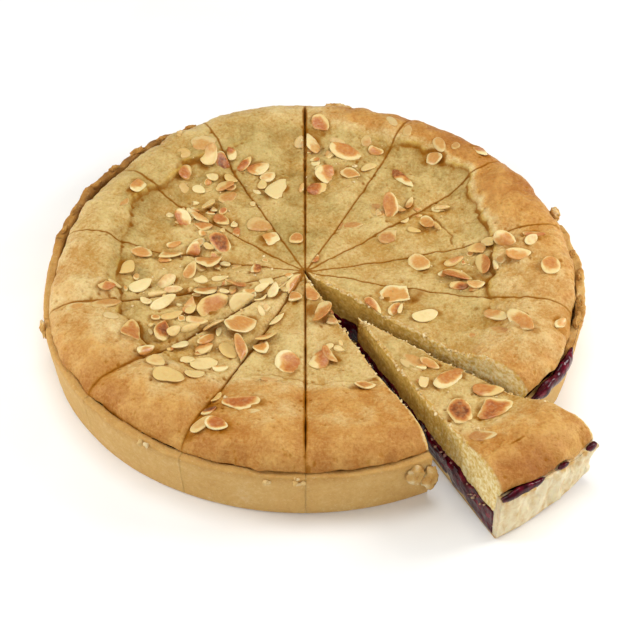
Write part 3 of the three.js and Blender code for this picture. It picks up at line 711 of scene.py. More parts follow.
class Shape:
    """Vertices, faces and painted values of one piece, gathered part by part."""

    def __init__(self, *paints):
        self.points = []
        self.faces = []
        self.paints = {name: [] for name in paints}
        self.count = 0

    def add(self, points, faces, **paints):
        points = np.asarray(points, float).reshape(-1, 3)
        self.points.append(points)
        self.faces += [[corner + self.count for corner in face] for face in faces]
        for name, gathered in self.paints.items():
            gathered.append(np.broadcast_to(paints.get(name, 0.0), len(points)))
        self.count += len(points)

    def to_piece(self, name, material, index):
        points = stand_slice(np.concatenate(self.points), index)
        mesh = bpy.data.meshes.new(name)
        mesh.from_pydata((points * MM).tolist(), [], self.faces)
        for paint, gathered in self.paints.items():
            values = np.concatenate(gathered).astype(np.float32)
            mesh.attributes.new(paint, "FLOAT", "POINT").data.foreach_set("value", values)
        mesh.polygons.foreach_set("use_smooth", np.ones(len(mesh.polygons), bool))
        mesh.materials.append(material)
        mesh.update()
        piece = bpy.data.objects.new(name, mesh)
        bpy.context.scene.collection.objects.link(piece)
        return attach(piece, "root")


def outline(grid, tip):
    """What a grid holds round its edge: tip, one side, the outer edge and back along the other side."""
    edge = np.concatenate((grid[:, 0], grid[-1, 1:], grid[-2::-1, -1]))
    return np.concatenate((np.asarray([tip]), edge))


def without_repeats(grid):
    """A grid as a list. Its first row, which is one point, is kept once."""
    return np.concatenate((grid[0, :1], grid[1:].reshape(-1, *grid.shape[2:])))


def slab(shape, top, rings, top_paints, ring_paints):
    """A wedge with a shaped top, whose first row is one point, its tip. The rings are its outline, from
    just under the top down to its underside, at the places that outline() lists."""
    rows, columns = top.shape[:2]
    levels, around = len(rings), len(rings[0])
    first = 1 + (rows - 1) * columns
    faces = [(0, 1 + j, 2 + j) for j in range(columns - 1)]
    faces += grid_faces(rows - 1, columns, start=1).tolist()
    upper = outline(np.arange(1, first).reshape(rows - 1, columns), 0)
    for level in range(levels):
        lower = np.arange(around) + first + level * around
        faces += np.stack((upper, lower, np.roll(lower, -1), np.roll(upper, -1)), axis=-1).tolist()
        upper = lower
    middle = first + levels * around
    faces += [(middle, b, a) for a, b in zip(upper.tolist(), np.roll(upper, -1).tolist())]
    points = np.concatenate((without_repeats(top), *rings, rings[-1].mean(axis=0)[None]))
    paints = {}
    for name in shape.paints:
        sides = np.broadcast_to(ring_paints[name], (levels, around)).reshape(-1)
        paints[name] = np.concatenate((without_repeats(top_paints[name]), sides, sides[-1:]))
    shape.add(points, faces, **paints)


def across_share(index, angle):
    start, end = slice_angles(index)
    return np.clip((angle - start) / (end - start), 0, 1)


def ooze_share(index, angle):
    """How far jam has come up beside the sponge, from 0 to 1."""
    across = across_share(index, angle)
    total = np.zeros_like(across)
    for of_slice, middle, half_width, most in OOZES:
        if of_slice == index:
            bulge = np.sqrt(np.clip(1 - ((across - middle) / half_width) ** 2, 0, 1))
            total = np.maximum(total, most * bulge)
    return total


def sponge_edge(index, angle):
    """Radius of the sponge's outer edge."""
    spill = smoothstep(around_tart(SPILL, angle), SPILL_OVER_RIM, 1)
    if index in JAM_LIPS:
        spill = JAM_SPILL * np.minimum(1, ooze_share(index, angle) + (index == DRAWN))
    shrunk = CLEARANCE + around_tart(EDGE_GAP, angle)
    return wall_inside(edge_height(angle), angle) + SPILL_REACH * spill - shrunk


def edge_lift(index, angle):
    """How far the sponge's edge stands off the rim, by itself or on the jam."""
    lift = around_tart(EDGE_LIFT, angle)
    if index in JAM_LIPS:
        lift = lift + JAM_LIPS[index][2] * ooze_share(index, angle)
    return lift


def over_edge(share):
    """How far from the crown to the sponge's outer edge, from 0 to 1."""
    return np.clip((share - CROWN_SHARE) / (1 - CROWN_SHARE), 0, 1)


def ring_foot(angle):
    """Radius where the risen edge starts, wandering as a crack does, and how sharply it has cracked."""
    degrees, radii, sharp = np.array(RING).T
    turned = np.degrees(angle) % 360
    foot = np.interp(turned, degrees, radii, period=360)
    crack = np.interp(turned, degrees, sharp, period=360)
    wander = rough("crack", polar(CRACK_RADIUS, angle, 0.0))
    return foot + wander * crack, crack


def cut_dip(index, radius, angle, risen):
    """How far the knife has dragged the crust down beside the slice's cuts, further in the risen edge, and
    how much shade is painted there from 0 to 1."""
    start, end = sponge_angles(index)
    following = (index + 1) % SLICE_COUNT
    width = lerp(*CUT_DIP_WIDTH, risen)
    dip, line, shade = 0, 0, 0
    for depth, offset in ((CUT_DIP[index], angle - start), (CUT_DIP[following], end - angle)):
        away = radius * np.sin(np.abs(offset))
        near = 1 - np.clip(away / width, 0, 1)
        dip = dip + depth * lerp(FLAT_DIP, 1.0, risen) * near**CUT_DIP_CURVE
        line = line + bell(away, 0, CUT_LINE)
        shade = shade + depth / max(CUT_DIP) * risen * bell(away, 0, CUT_SHADE)
    return dip, line + CUT_SHADE_SHARE * shade


def hairlines(radius, angle):
    """Fine cracks in the crust, from 0 to 1."""
    wander = rough("hairline", polar(radius, angle, 0.0))
    total = 0
    for start, end, at, strength in HAIRLINES:
        turned = (np.degrees(angle) - start) % 360
        inside = smoothstep(turned, 0, HAIRLINE_END) * smoothstep(end - start - turned, 0, HAIRLINE_END)
        total = total + strength * inside * bell(radius + wander, at, HAIRLINE_WIDTH)
    return np.clip(total, 0, 1)


def plain_height(index, share, angle):
    """Height of the sponge's top without cracks and bumps: flat, then a step and a swell up to the crown,
    and a round edge."""
    edge_radius = sponge_edge(index, angle)
    radius = share * edge_radius
    foot, crack = ring_foot(angle)
    crown = CROWN_HEIGHT + waves(CROWN_WAVES, angle)
    edge = edge_height(angle) + EDGE_ROUND + edge_lift(index, angle)
    rounded = edge + (crown - edge) * np.sqrt(1 - over_edge(share) ** 2)
    step = around_tart(STEP_RISE, angle)
    step_width = lerp(*STEP_WIDTHS, smoothstep(crack, *STEP_CRACKS))
    swell = crown - CENTRE_HEIGHT - step
    rising = swell * smoothstep(radius, foot - SWELL_START, CROWN_SHARE * edge_radius)
    stepped = CENTRE_HEIGHT + step * smoothstep(radius - foot, 0, step_width)
    return np.where(share > CROWN_SHARE, rounded, stepped + rising)


def crust_height(index, share, angle):
    """Height of the sponge's top, how much shade is painted in its cracks, pits and cuts from 0 to 1, where
    the crust is torn, and how far its bumps stand up."""
    radius = share * sponge_edge(index, angle)
    place = polar(radius, angle, 0.0)
    foot, crack = ring_foot(angle)
    beyond = radius - foot
    calm = 1 - EDGE_CALM * over_edge(share)
    dip, beside = cut_dip(index, radius, angle, smoothstep(beyond, *DIP_RISE))
    dip = dip * np.minimum(share / DIP_SHARE, 1)
    whole = np.clip(CRACK_WHOLE + rough("crack_breaks", place), 0, 1)
    groove = crack**2 * whole * bell(beyond, *CRACK_GROOVE)
    fine = hairlines(radius, angle)
    pits = pores("crust_pits", place)
    relief = rough("crust_swells", place) + rough("crust_lumps", place) + rough("crust_grain", place)
    height = plain_height(index, share, angle) + (relief - dip - PIT_DEPTH * pits) * calm
    height = height - CRACK_DEPTH * (groove + fine)
    # Painted shade: a dark line at the crack's foot and a soft painted shadow below the step
    stain = crack * (FOOT_SHADE_DARK * bell(beyond, *CRACK_FOOT_SHADE) + SHADOW_DARK * bell(beyond, *CRACK_SHADOW))
    # Shade is painted into the crack's groove, fine cracks, pits and cut lines
    crease = groove + stain + HAIRLINE_DARK * fine + PIT_DARK * pits + CUT_DARK * beside * calm
    # The torn band bares pale crumb, and it also stands for a painted highlight on the lit top edge of the
    # step
    ragged = np.clip(TORN_WHOLE + rough("torn_edge", place), 0, 1)
    torn = crack * ragged * bell(beyond, *CRACK_TORN_LIT)
    return height, np.clip(crease, 0, 1), torn, relief


def crust_browning(share, angle, place):
    """How brown the crust is, from 0 to 1."""
    radius = np.hypot(place[..., 0], place[..., 1])
    foot, _ = ring_foot(angle)
    outside = smoothstep(share, *BROWN_OUTSIDE)
    hump = lerp(around_tart(FOOT_BROWNING, angle), around_tart(EDGE_BROWNING, angle), outside)
    # Shade painted in the hollow inside the foot of the risen edge: lower browning there darkens the crust
    painted_shading = np.exp(-np.clip(foot - radius, 0, None) / HOLLOW_WIDTH) * around_tart(HOLLOW_SHADE, angle)
    middle = around_tart(MIDDLE_BROWNING, angle) - painted_shading
    browning = lerp(middle, hump, smoothstep(radius - foot, *BROWN_RISE))
    return browning + rough("browning_patches", place) + rough("browning_spots", place)


def flake_stain_and_shadow(index, place):
    """How much butter stain and painted contact shadow darken the crust beside the slice's almonds, from 0
    to 1.
    """
    near = np.zeros(place.shape[:-1])
    for x, y, length, width, turn, _, sunk in FLAKES:
        if slice_of(x, y) != index or sunk:
            continue
        along, across = turn_level(place[..., 0] - x, place[..., 1] - y, -math.radians(turn))
        gap = np.clip(np.hypot(2 * along / length, 2 * across / width) - 1, 0, None) * width / 2
        near = np.maximum(near, bell(gap, 0, FLAKE_STAIN_AND_SHADOW_WIDTH))
    return near * np.clip(FLAKE_STAIN_AND_SHADOW * (1 + rough("butter_and_shadow", place)), 0, 1)


def is_open(index):
    """Whether the slice's clockwise and anticlockwise cut faces can be seen."""
    return index in (DRAWN, DRAWN + 1), index in (DRAWN - 1, DRAWN)


def cut_faces(index, angles):
    """For the slice's two cuts at the angles: the level direction out of it, and whether the face shows."""
    for angle, side, opened in zip(angles, (1, -1), is_open(index)):
        yield side * np.array((math.sin(angle), -math.cos(angle))), opened


def face_normals(index, rows, columns, angles):
    """Outward directions round a wedge's outline, for its cut faces that show."""
    sides = [np.append(outward * opened, 0.0) for outward, opened in cut_faces(index, angles)]
    first, second = [np.tile(side, (rows, 1)) for side in sides]
    return np.concatenate((np.zeros((1, 3)), first, np.zeros((columns - 2, 3)), second))


def close_cuts(points, index, angles, share):
    """Moves points beside the slice's closed cuts a share of the way to the neighbouring slice."""
    radius = np.linalg.norm(points[..., :2], axis=-1)
    moved = points.copy()
    trims = EXTRA_CUT[index], EXTRA_CUT[(index + 1) % SLICE_COUNT]
    cuts = zip(cut_faces(index, angles), angles, slice_angles(index), trims)
    for (outward, opened), angle, cut, trim in cuts:
        if opened:
            continue
        closed = np.maximum(share, CUT_CLOSED * (trim < THIN_CUT))
        near = 1 - smoothstep(-(points[..., :2] @ outward), 0, CLOSING_WIDTH)
        gap = SPREAD * math.sin(SLICE_ANGLE / 2) + radius * abs(angle - cut)
        moved[..., :2] += (near * gap * closed)[..., None] * outward
    return moved


def crumble_edges(points, index, angles):
    """Makes the crust ragged along the slice's open cuts. Gives back where it has crumbled, from 0 to 1."""
    moved = points.copy()
    crumbled = np.zeros(points.shape[:-1])
    ragged = rough("crumbled_edge", points)
    for outward, opened in cut_faces(index, angles):
        if not opened:
            continue
        inside = -(points[..., :2] @ outward)
        near = 1 - smoothstep(inside, 0, CRUMBLE_WIDTH)
        moved[..., :2] += (near * (CRUMBLE_JAG * ragged - CRUMBLE_BACK))[..., None] * outward
        moved[..., 2] -= near**2 * np.clip(CRUMBLE_DROP + ragged, 0, CRUMBLE_DEEPEST)
        bared = 1 - smoothstep(inside - CRUMBLE_BARED * ragged, 0, CRUMBLE_WIDTH)
        crumbled += np.clip(CRUMBLE_STRENGTH * bared, 0, 1)
    return moved, np.clip(crumbled, 0, 1)


def crust_grid(index):
    """Shares of the radius and directions over a slice's crust, closest together in its ring and edge."""
    middle = np.linspace(0, MIDDLE_SHARE, MIDDLE_ROWS, endpoint=False)
    ring = np.linspace(MIDDLE_SHARE, CROWN_SHARE, RING_ROWS)
    edge = lerp(CROWN_SHARE, 1, np.sin(np.linspace(0, math.pi / 2, EDGE_ROWS + 1)[1:]))
    shares = np.concatenate((middle, ring, edge))
    return np.meshgrid(shares, across_slice(CRUST_COLUMNS, *sponge_angles(index)), indexing="ij")


def sponge_top(index, share, angle, radius, bake):
    """Points over a slice's crust, and what is painted on them."""
    angles = sponge_angles(index)
    height, crease, torn, relief = crust_height(index, share, angle)
    place = polar(radius, angle, 0.0)
    kerf = np.clip(KERF_CLOSED + rough("kerf", place), 0, KERF_MOST_CLOSED)
    closed = np.maximum(kerf, CUT_CLOSED * smoothstep(share, *KERF_END))
    top = close_cuts(polar(radius, angle, height), index, angles, closed)
    top, crumbled = crumble_edges(top, index, angles)
    top[0] = top[0].mean(axis=0)
    crease = np.clip(crease + flake_stain_and_shadow(index, place), 0, 1)
    paints = {
        "cut": np.clip(CRUMB_SHOWS * (torn + crumbled), 0, 1),
        "bake": lerp(bake, CRUMBLED_BAKE, crumbled),
        "crease": crease * (1 - crumbled),
        "raised": relief,
    }
    return top, paints


def sponge_rings(index, loop, floor, inward, normals):
    """A slice's outline ring by ring down to its floor, rough and full of pores where its faces show."""
    levels = FACE_LEVELS if any(is_open(index)) else HIDDEN_LEVELS
    rings = []
    for down in np.arange(1, levels + 1) / levels:
        ring = loop * (1, 1, 0)
        ring[:, :2] *= (1 - inward * down**2)[:, None]
        ring[:, 2] = lerp(loop[:, 2], floor, down)
        crumb = rough("crumb", ring) - PORE_DEPTH * pores("crumb_pores", ring)
        closing = CUT_CLOSED * smoothstep(loop[:, 2] - ring[:, 2], *KERF_DEPTHS)
        rings.append(close_cuts(ring + normals * crumb[:, None], index, sponge_angles(index), closing))
    return rings


def make_sponge(index, material):
    angles = sponge_angles(index)
    share, angle = crust_grid(index)
    ragged = rough("sponge_edge", polar(RIM_RADIUS, angle, 0.0))
    radius = share * sponge_edge(index, angle) + ragged * smoothstep(share, *RAGGED_SHARES)
    bake = crust_browning(share, angle, polar(radius, angle, 0.0))
    top, paints = sponge_top(index, share, angle, radius, bake)
    loop = outline(top[1:], top[0, 0])
    loop_radius = outline(radius[1:], 0.0)
    loop_angle = outline(angle[1:], sum(angles) / 2)
    seam = rough("seam", polar(RIM_RADIUS, loop_angle, 0.0))
    ledge = edge_height(loop_angle) + edge_lift(index, loop_angle) + seam
    overhang = loop_radius > wall_inside(edge_height(loop_angle), loop_angle) - CLEARANCE
    floor = np.where(overhang, ledge - LEDGE_DROP, JAM_TOP - SPONGE_IN_JAM)
    floor_radius = np.minimum(loop_radius, wall_inside(floor, loop_angle) - CLEARANCE)
    inward = 1 - floor_radius / np.maximum(loop_radius, 1)
    normals = face_normals(index, len(share) - 1, CRUST_COLUMNS, angles)
    on_face = np.linalg.norm(normals, axis=1) > 0
    sides = {
        "cut": 1.0 * on_face,
        # On the cut faces the crumb is painted paler towards the outer end and darker towards the tip, as
        # painted light and shade
        "bake": np.where(on_face, loop_radius / RIM_RADIUS, outline(bake[1:], TIP_BROWNING)),
        # The sponge's hidden sides and kerf walls are painted fully in shade
        "crease": 1.0 * ~(on_face | overhang),
        "raised": 0.0,
    }
    shape = Shape("cut", "bake", "crease", "raised")
    slab(shape, top, sponge_rings(index, loop, floor, inward, normals), paints, sides)
    piece = shape.to_piece(f"almond_sponge_{index + 1:02d}", material, index)
    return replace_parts(piece, f"sponge_{index + 1:02d}")


def make_jam_layer(index, material):
    """Jam of a slice whose cut faces show: lumpy, and smeared down over the pastry's edge."""
    angles = slice_angles(index)
    shares = np.linspace(0, 1, JAM_ROWS)
    share, angle = np.meshgrid(shares, across_slice(JAM_COLUMNS, *angles), indexing="ij")
    top = polar(share * (wall_inside(JAM_TOP, angle) - CLEARANCE), angle, 0.0)
    top[..., 2] = JAM_TOP + JAM_RISE + rough("jam_top", top)
    top[0] = top[0].mean(axis=0)
    loop = outline(top[1:], top[0, 0])
    normals = face_normals(index, JAM_ROWS - 1, JAM_COLUMNS, angles)
    on_face = np.linalg.norm(normals, axis=1) > 0
    smear = FLOOR - JAM_SMEAR + rough("jam_smear", loop * (1, 1, 0))
    floor = np.where(on_face, np.clip(smear, JAM_LOWEST, FLOOR), FLOOR + JAM_GAP)
    rings = []
    for down in np.arange(1, JAM_LEVELS + 1) / JAM_LEVELS:
        ring = loop.copy()
        ring[:, 2] = lerp(loop[:, 2], floor, down)
        body = math.sin(math.pi * lerp(*JAM_BODY, down)) ** JAM_BODY_CURVE
        lumps = JAM_SWELL + rough("jam_lumps", ring)
        rings.append(ring + normals * (body * lumps - JAM_SET_BACK)[:, None])
    shape = Shape()
    slab(shape, top, rings, {}, {})
    piece = shape.to_piece(f"jam_layer_{index + 1:02d}", material, index)
    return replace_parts(piece, f"jam_{index + 1:02d}")


def make_jam_lip(index, material):
    """Jam that has come up between the sponge and the case and swollen over the rim."""
    across = lerp(*slice_angles(index), np.linspace(*LIP_ENDS, LIP_COLUMNS))
    around = np.linspace(0, 2 * math.pi, LIP_AROUND, endpoint=False)
    angle, turn = np.meshgrid(across, around, indexing="ij")
    middle, out, up = JAM_LIPS[index]
    rim = rim_height(angle)
    swell = 1 + rough("jam_lip", polar(RIM_RADIUS, angle, LIP_NOISE_REACH * np.cos(turn)))
    swell = swell * np.maximum(ooze_share(index, angle), LIP_THINNEST)
    radius = wall_inside(rim, angle) + middle + out * swell * np.cos(turn)
    drip = np.clip(-np.sin(turn), 0, 1) * np.clip(np.cos(turn), 0, 1)
    height = rim + LIP_RISE + up * swell * (np.sin(turn) - LIP_DRIP * drip)
    shape = Shape()
    shape.add(polar(radius, angle, height), tube_faces(LIP_COLUMNS, LIP_AROUND))
    piece = shape.to_piece(f"jam_lip_{index + 1:02d}", material, index)
    return piece


def wall_profile(angle, rows):
    """Outline of the case at one direction, from the edge of its base round to the middle of it."""
    rim = rim_height(angle)
    outer = reach(RIM_RADIUS, angle)
    base = reach(BASE_RADIUS, angle)
    inner = wall_inside(rim, angle)
    foot = wall_inside(FLOOR, angle)
    quarter = np.linspace(0, math.pi / 2, ROUND_CORNERS)
    corner = [(base - EDGE_ROUND * (1 - math.sin(a)), EDGE_ROUND * (1 - math.cos(a))) for a in quarter]
    rise = np.linspace(0, 1, rows)[1:-1]
    wall = [(lerp(base, outer, s), lerp(EDGE_ROUND, rim - EDGE_ROUND, s)) for s in rise]
    lip = [
        (outer - EDGE_ROUND * (1 - math.cos(a)), rim - EDGE_ROUND * (1 - math.sin(a))) for a in quarter
    ]
    rim_top = [(lerp(outer - EDGE_ROUND, inner, s), rim) for s in RIM_TOP_SHARES]
    inside = [(lerp(inner, foot, s), lerp(rim, FLOOR, s)) for s in INSIDE_SHARES]
    ends = [(TIP_RADIUS, FLOOR), (TIP_RADIUS, 0.0), (UNDERSIDE_SHARE * base, 0.0)]
    return np.array(corner + wall + lip + rim_top + inside + ends)


def rough_case(index, radius, angle, height, torn):
    """Points over a slice's case with its lumps and tears, and how brown it is there from 0 to 1."""
    points = polar(radius, angle, height)
    drag = points * (1, 1, lerp(*DRAG, torn))
    rim = rim_height(angle)
    bare = np.clip(1 - BARE_BELOW_SPILL * around_tart(SPILL, angle), 0, 1)
    on_rim = smoothstep(height, rim - RIM_BAND[0], rim - RIM_BAND[1])
    bare_rim = bare * on_rim
    on_wall = smoothstep(radius / BASE_RADIUS, *WALL_SHARES) * smoothstep(height, 0, WALL_FOOT)
    out = rough("wall_swells", points) + lerp(*WALL_GRAIN, torn) * rough("wall_grain", drag)
    out = out - CHIP_DEPTH * torn * pores("wall_chips", drag) + bare_rim * rough("bare_rim", points)
    knobs = bare * (rough("rim_knobs", points) + KNOB_RISE)
    knobs = on_rim * (knobs + lerp(*RIM_GRAIN, torn) * rough("rim_grain", points))
    foot = torn * across_share(index, angle) ** 2 * smoothstep(radius / BASE_RADIUS, *FOOT_SHARES)
    foot = TORN_FOOT * foot * (1 - np.clip(height / RIM_HEIGHT, 0, 1))
    points = polar(radius + on_wall * out, angle, height + knobs + foot)
    points = close_cuts(points, index, slice_angles(index), CASE_CLOSED)
    browning = lerp(WALL_BROWNING, around_tart(RIM_BROWNING, angle), bare_rim) + RIM_TOASTED * on_rim
    browning = browning + rough("wall_patches", points) + bare_rim * rough("rim_spots", points)
    return points, browning - torn * on_wall * (TORN_PALENESS - rough("torn_spots", drag))


def make_case(index, material):
    torn = 1.0 * (index == DRAWN)
    columns = TORN_WALL_COLUMNS if torn else WALL_COLUMNS
    rows = TORN_WALL_ROWS if torn else WALL_ROWS
    angles = np.linspace(*slice_angles(index), columns)
    profile = np.array([wall_profile(angle, rows) for angle in angles])
    radius, height = profile[..., 0], profile[..., 1]
    angle = np.broadcast_to(angles[:, None], radius.shape)
    points, browning = rough_case(index, radius, angle, height, torn)
    shape = Shape("bake")
    shape.add(points, tube_faces(*radius.shape), bake=browning.reshape(-1))
    for of_slice, *scrap in SCRAPS:
        if of_slice == index:
            add_scrap(shape, *scrap, SCRAP_STAND, SCRAP_BROWNING)
    for lump in RIM_LUMPS:
        if slice_towards(lump[0]) == index:
            add_scrap(shape, *lump, -LUMP_INSET, LUMP_BROWNING)
    piece = shape.to_piece(f"pastry_case_{index + 1:02d}", material, index)
    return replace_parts(piece, f"pastry_{index + 1:02d}")


@cache
def ball(subdivisions):
    """Corners and faces of a round ball of radius 1."""
    made = bmesh.new()
    bmesh.ops.create_icosphere(made, subdivisions=subdivisions, radius=1)
    points = np.array([vertex.co for vertex in made.verts])
    faces = [[vertex.index for vertex in face.verts] for face in made.faces]
    made.free()
    return points, faces


def add_scrap(shape, degrees, height, along, out, up, stand, browning):
    """A rough lump of pastry on the wall, standing out from it or set back."""
    points, faces = ball(SCRAP_FINENESS)
    angle = math.radians(degrees)
    lumpy = rough("scrap_lumps", points + degrees) + rough("scrap_grain", points + degrees)
    lumps = points * (1 + lumpy[:, None]) * (out, along, up)
    x, y = turn_level(reach(RIM_RADIUS, angle) + stand + lumps[:, 0], lumps[:, 1], angle)
    bake = browning + rough("scrap_spots", lumps)
    shape.add(np.stack((x, y, height + lumps[:, 2]), axis=-1), faces, bake=bake)


def flake_outline(length, width):
    """An almond cut lengthways: broad at one end and pointed at the other."""
    half = length / 2
    broad = np.array((-half, -FLAKE_BROAD_END * width))
    pointed = np.array((FLAKE_POINT_REACH * half, -FLAKE_POINTED_END * width))
    start, end = np.array((-half, 0.0)), np.array((half, 0.0))
    t = np.linspace(0, 1, FLAKE_CORNERS // 2 + 1)[:, None]
    s = 1 - t
    curve = s**3 * start + 3 * t * s**2 * broad + 3 * t**2 * s * pointed + t**3 * end
    return np.concatenate((curve[:-1], (curve * (1, -1))[:0:-1]))


def flake_faces():
    """Faces of a flake's upper and lower sheets, which share the vertices of its rim."""
    fan = [[0, 1 + j, 1 + (j + 1) % FLAKE_CORNERS] for j in range(FLAKE_CORNERS)]
    upper = fan + grid_faces(len(FLAKE_RINGS), FLAKE_CORNERS, start=1, closed=True).tolist()
    rim_first = 1 + (len(FLAKE_RINGS) - 1) * FLAKE_CORNERS
    below = rim_first + FLAKE_CORNERS
    lower = [[corner + below * (corner < rim_first) for corner in face[::-1]] for face in upper]
    return upper + lower


def break_flake(edge, width, draw):
    """Snaps a side off some flakes."""
    side = draw(0, 2 * math.pi)
    snapped = np.array((math.cos(side), math.sin(side)))
    kept = width * (draw(0.32, 0.5) if draw() < BROKEN_SHARE else 2)
    over = np.clip(edge @ snapped - kept, 0, None)
    return edge - (over - 0.15 * np.sin(6 * over))[:, None] * snapped


def slice_of(x, y):
    return int((math.atan2(y, x) - FIRST_CUT) % (2 * math.pi) / SLICE_ANGLE) % SLICE_COUNT


def slice_towards(degrees):
    return slice_of(math.cos(math.radians(degrees)), math.sin(math.radians(degrees)))


def height_at(index, x, y):
    """Height of a slice's crust at places about the cuts' meeting point."""
    start, end = sponge_angles(index)
    middle = (start + end) / 2
    turned = (np.arctan2(y, x) - middle + math.pi) % (2 * math.pi) - math.pi
    angle = middle + np.clip(turned, (start - end) / 2, (end - start) / 2)
    share = np.minimum(np.hypot(x, y) / sponge_edge(index, angle), OUTERMOST_SHARE)
    return crust_height(index, share, angle)[0]


def crust_under(index, x, y, spread):
    """Height of the crust at a place, and the direction that it faces."""
    around = np.array(((0, 0), (spread, 0), (-spread, 0), (0, spread), (0, -spread)))
    middle, right, left, back, front = height_at(index, x + around[:, 0], y + around[:, 1])
    facing = np.array(((left - right) / (2 * spread), (front - back) / (2 * spread), 1.0))
    level = max(middle, (right + left + back + front) / 4)
    return level, facing / np.linalg.norm(facing)


def turn_upright_to(facing):
    """The turn that takes straight up to the given direction."""
    return np.array(Vector((0, 0, 1)).rotation_difference(Vector(facing)).to_matrix())


def clip_to_slice(points, index):
    """Keeps a flake that lies across a cut on its own slice's side of it."""
    points = points.copy()
    for outward, _ in cut_faces(index, sponge_angles(index)):
        over = np.clip(points[:, :2] @ outward + FLAKE_INSET, 0, None)
        points[:, :2] -= over[:, None] * outward
    return points


def flake_flat(length, width, seed, draw):
    """A flake lying level: its middle, then ring by ring out to its chipped and broken edge. Also each
    place's share of the way out."""
    edge = flake_outline(length, width)
    chips = rough("flake_chips", level_points(edge), seed)
    edge = break_flake(edge * (1 + chips[:, None]), width, draw)
    flat = np.concatenate([[(0.0, 0.0)]] + [edge * scale for scale in FLAKE_RINGS])
    out = np.concatenate(([0.0], np.repeat(FLAKE_RINGS, FLAKE_CORNERS)))
    return flat, out


def flake_bow(along, across, length, draw):
    """How a flake curls lengthways and crossways, and how it is twisted."""
    bow = draw(-0.5, 1.6) * (along**2 - BOW_MIDDLE) + draw(-1.2, 0.8) * (across**2 - BOW_MIDDLE)
    twist = draw(-0.6, 0.6) * along * across
    return min(1, length / FULL_CURL_LENGTH) * (bow + twist)


def flake_seat(index, flake, lift, lean, draw):
    """The turn that lays a flake on the crust and on the flakes under it, and where its middle comes."""
    x, y, length, _, turn, _, sunk = flake
    level, facing = crust_under(index, x, y, FLAKE_BED * length)
    tilt, tilt_turn = FLAKE_TILT * draw(), 2 * math.pi * draw()
    if not sunk:
        facing = facing + lean + tilt * np.array((math.cos(tilt_turn), math.sin(tilt_turn), 0.0))
    cos, sin = math.cos(math.radians(turn)), math.sin(math.radians(turn))
    spin = np.array(((cos, -sin, 0), (sin, cos, 0), (0, 0, 1)))
    rest = -FLAKE_REST if sunk else FLAKE_REST
    return turn_upright_to(facing / np.linalg.norm(facing)) @ spin, np.array((x, y, level + rest + lift))


def flake_heart(flat, out, along, across, seed, draw):
    """Where a flake is toasted, from 0 to 1: more at its middle and to one side."""
    side = draw(0, 2 * math.pi)
    to_side = 0.5 + 0.5 * (along * math.cos(side) + across * math.sin(side))
    spots = rough("flake_spots", level_points(flat), seed)
    pale = lerp(out**2, HEART_SIDE * to_side, draw(0.1, 0.9)) + spots
    return 1 - smoothstep(pale, *HEART_EDGE)


def add_flake(shape, index, flake, lift, lean, draw):
    _, _, length, width, _, toast, sunk = flake
    seed = int(draw() * 1000)
    flat, out = flake_flat(length, width, seed, draw)
    along, across = flat[:, 0] / length * 2, flat[:, 1] / width * 2
    sheet = flake_bow(along, across, length, draw) + rough("flake_ripple", level_points(flat), seed)
    sheet = sheet * (SUNK_CURL if sunk else 1)
    thick = FLAKE_THICKNESS / 2 * np.sqrt(np.clip(1 - out**FLAKE_RIM_CURVE, 0, 1))
    to_place, seat = flake_seat(index, flake, lift, lean, draw)
    heart = flake_heart(flat, out, along, across, seed, draw)
    inside = len(flat) - FLAKE_CORNERS
    body = np.concatenate((np.c_[flat, sheet + thick], np.c_[flat, sheet - thick][:inside]))
    points = clip_to_slice(body @ to_place.T + seat, index)
    toasted = toast * np.concatenate((heart, heart[:inside]))
    shape.add(points, flake_faces(), toast=toasted, tone=draw(), sunk=float(sunk))


def rest_on_others(flakes):
    """How far each flake is lifted by those under it, and which way it leans on them."""
    lifts, leans = [], []
    for i, (x, y, length, width, _, _, sunk) in enumerate(flakes):
        lift, lean = 0.0, np.zeros(3)
        for j in range(i):
            other = flakes[j]
            if other[6] or sunk:
                continue
            away = np.array((x - other[0], y - other[1], 0.0))
            gap = np.linalg.norm(away)
            sizes = (length + width) / 4, (other[2] + other[3]) / 4
            share = np.clip((sum(sizes) - gap) / (2 * min(sizes)), 0, 1)
            over = lifts[j] + FLAKE_STACK * FLAKE_THICKNESS
            lift = max(lift, over * smoothstep(share, *LIFT_OVERLAP))
            lean = lean + FLAKE_LEAN * smoothstep(share, *LEAN_OVERLAP) * away / max(gap, 1)
        lifts.append(lift)
        leans.append(lean)
    return lifts, leans


def scatter(draw, x, y, spread, crowding):
    """A place about a middle, the nearer to it the higher the crowding."""
    around, out = draw(0, 2 * math.pi), spread * draw() ** crowding
    return x + out * math.cos(around), y + out * math.sin(around)


def scatter_bits(draw):
    """Small bits of almond, each as a row like those of the flakes."""
    bits = []
    for x, y, spread, count in BITS:
        for _ in range(count):
            place = scatter(draw, x, y, spread, 0.6)
            length = draw(3.5, 8)
            bits.append((*place, length, length * draw(0.4, 0.8), draw(0, 360), 0.7 * draw(), 0))
    return bits


def make_flakes(material):
    draw = Draws(FLAKE_SEED)
    flakes = (*scatter_bits(draw), *FLAKES)
    lifts, leans = rest_on_others(flakes)
    for index in range(SLICE_COUNT):
        shape = Shape("toast", "tone", "sunk")
        for flake, lift, lean in zip(flakes, lifts, leans):
            if slice_of(*flake[:2]) == index:
                add_flake(shape, index, flake, lift, lean, draw)
        piece = shape.to_piece(f"flaked_almonds_{index + 1:02d}", material, index)


def add_crumb(shape, place, size, draw, stain=0.0):
    """One rough crumb, clean or stained by jam."""
    points, faces = ball(CRUMB_FINENESS)
    shift = 50 * draw()
    stretch = np.array((draw(0.7, 1.4), draw(0.7, 1.4), draw(0.6, 1.0)))
    lump = points * (1 + rough("crumb_lumps", points + shift)[:, None])
    shape.add(place + lump * stretch * size / 2, faces, tone=draw(), stain=stain)


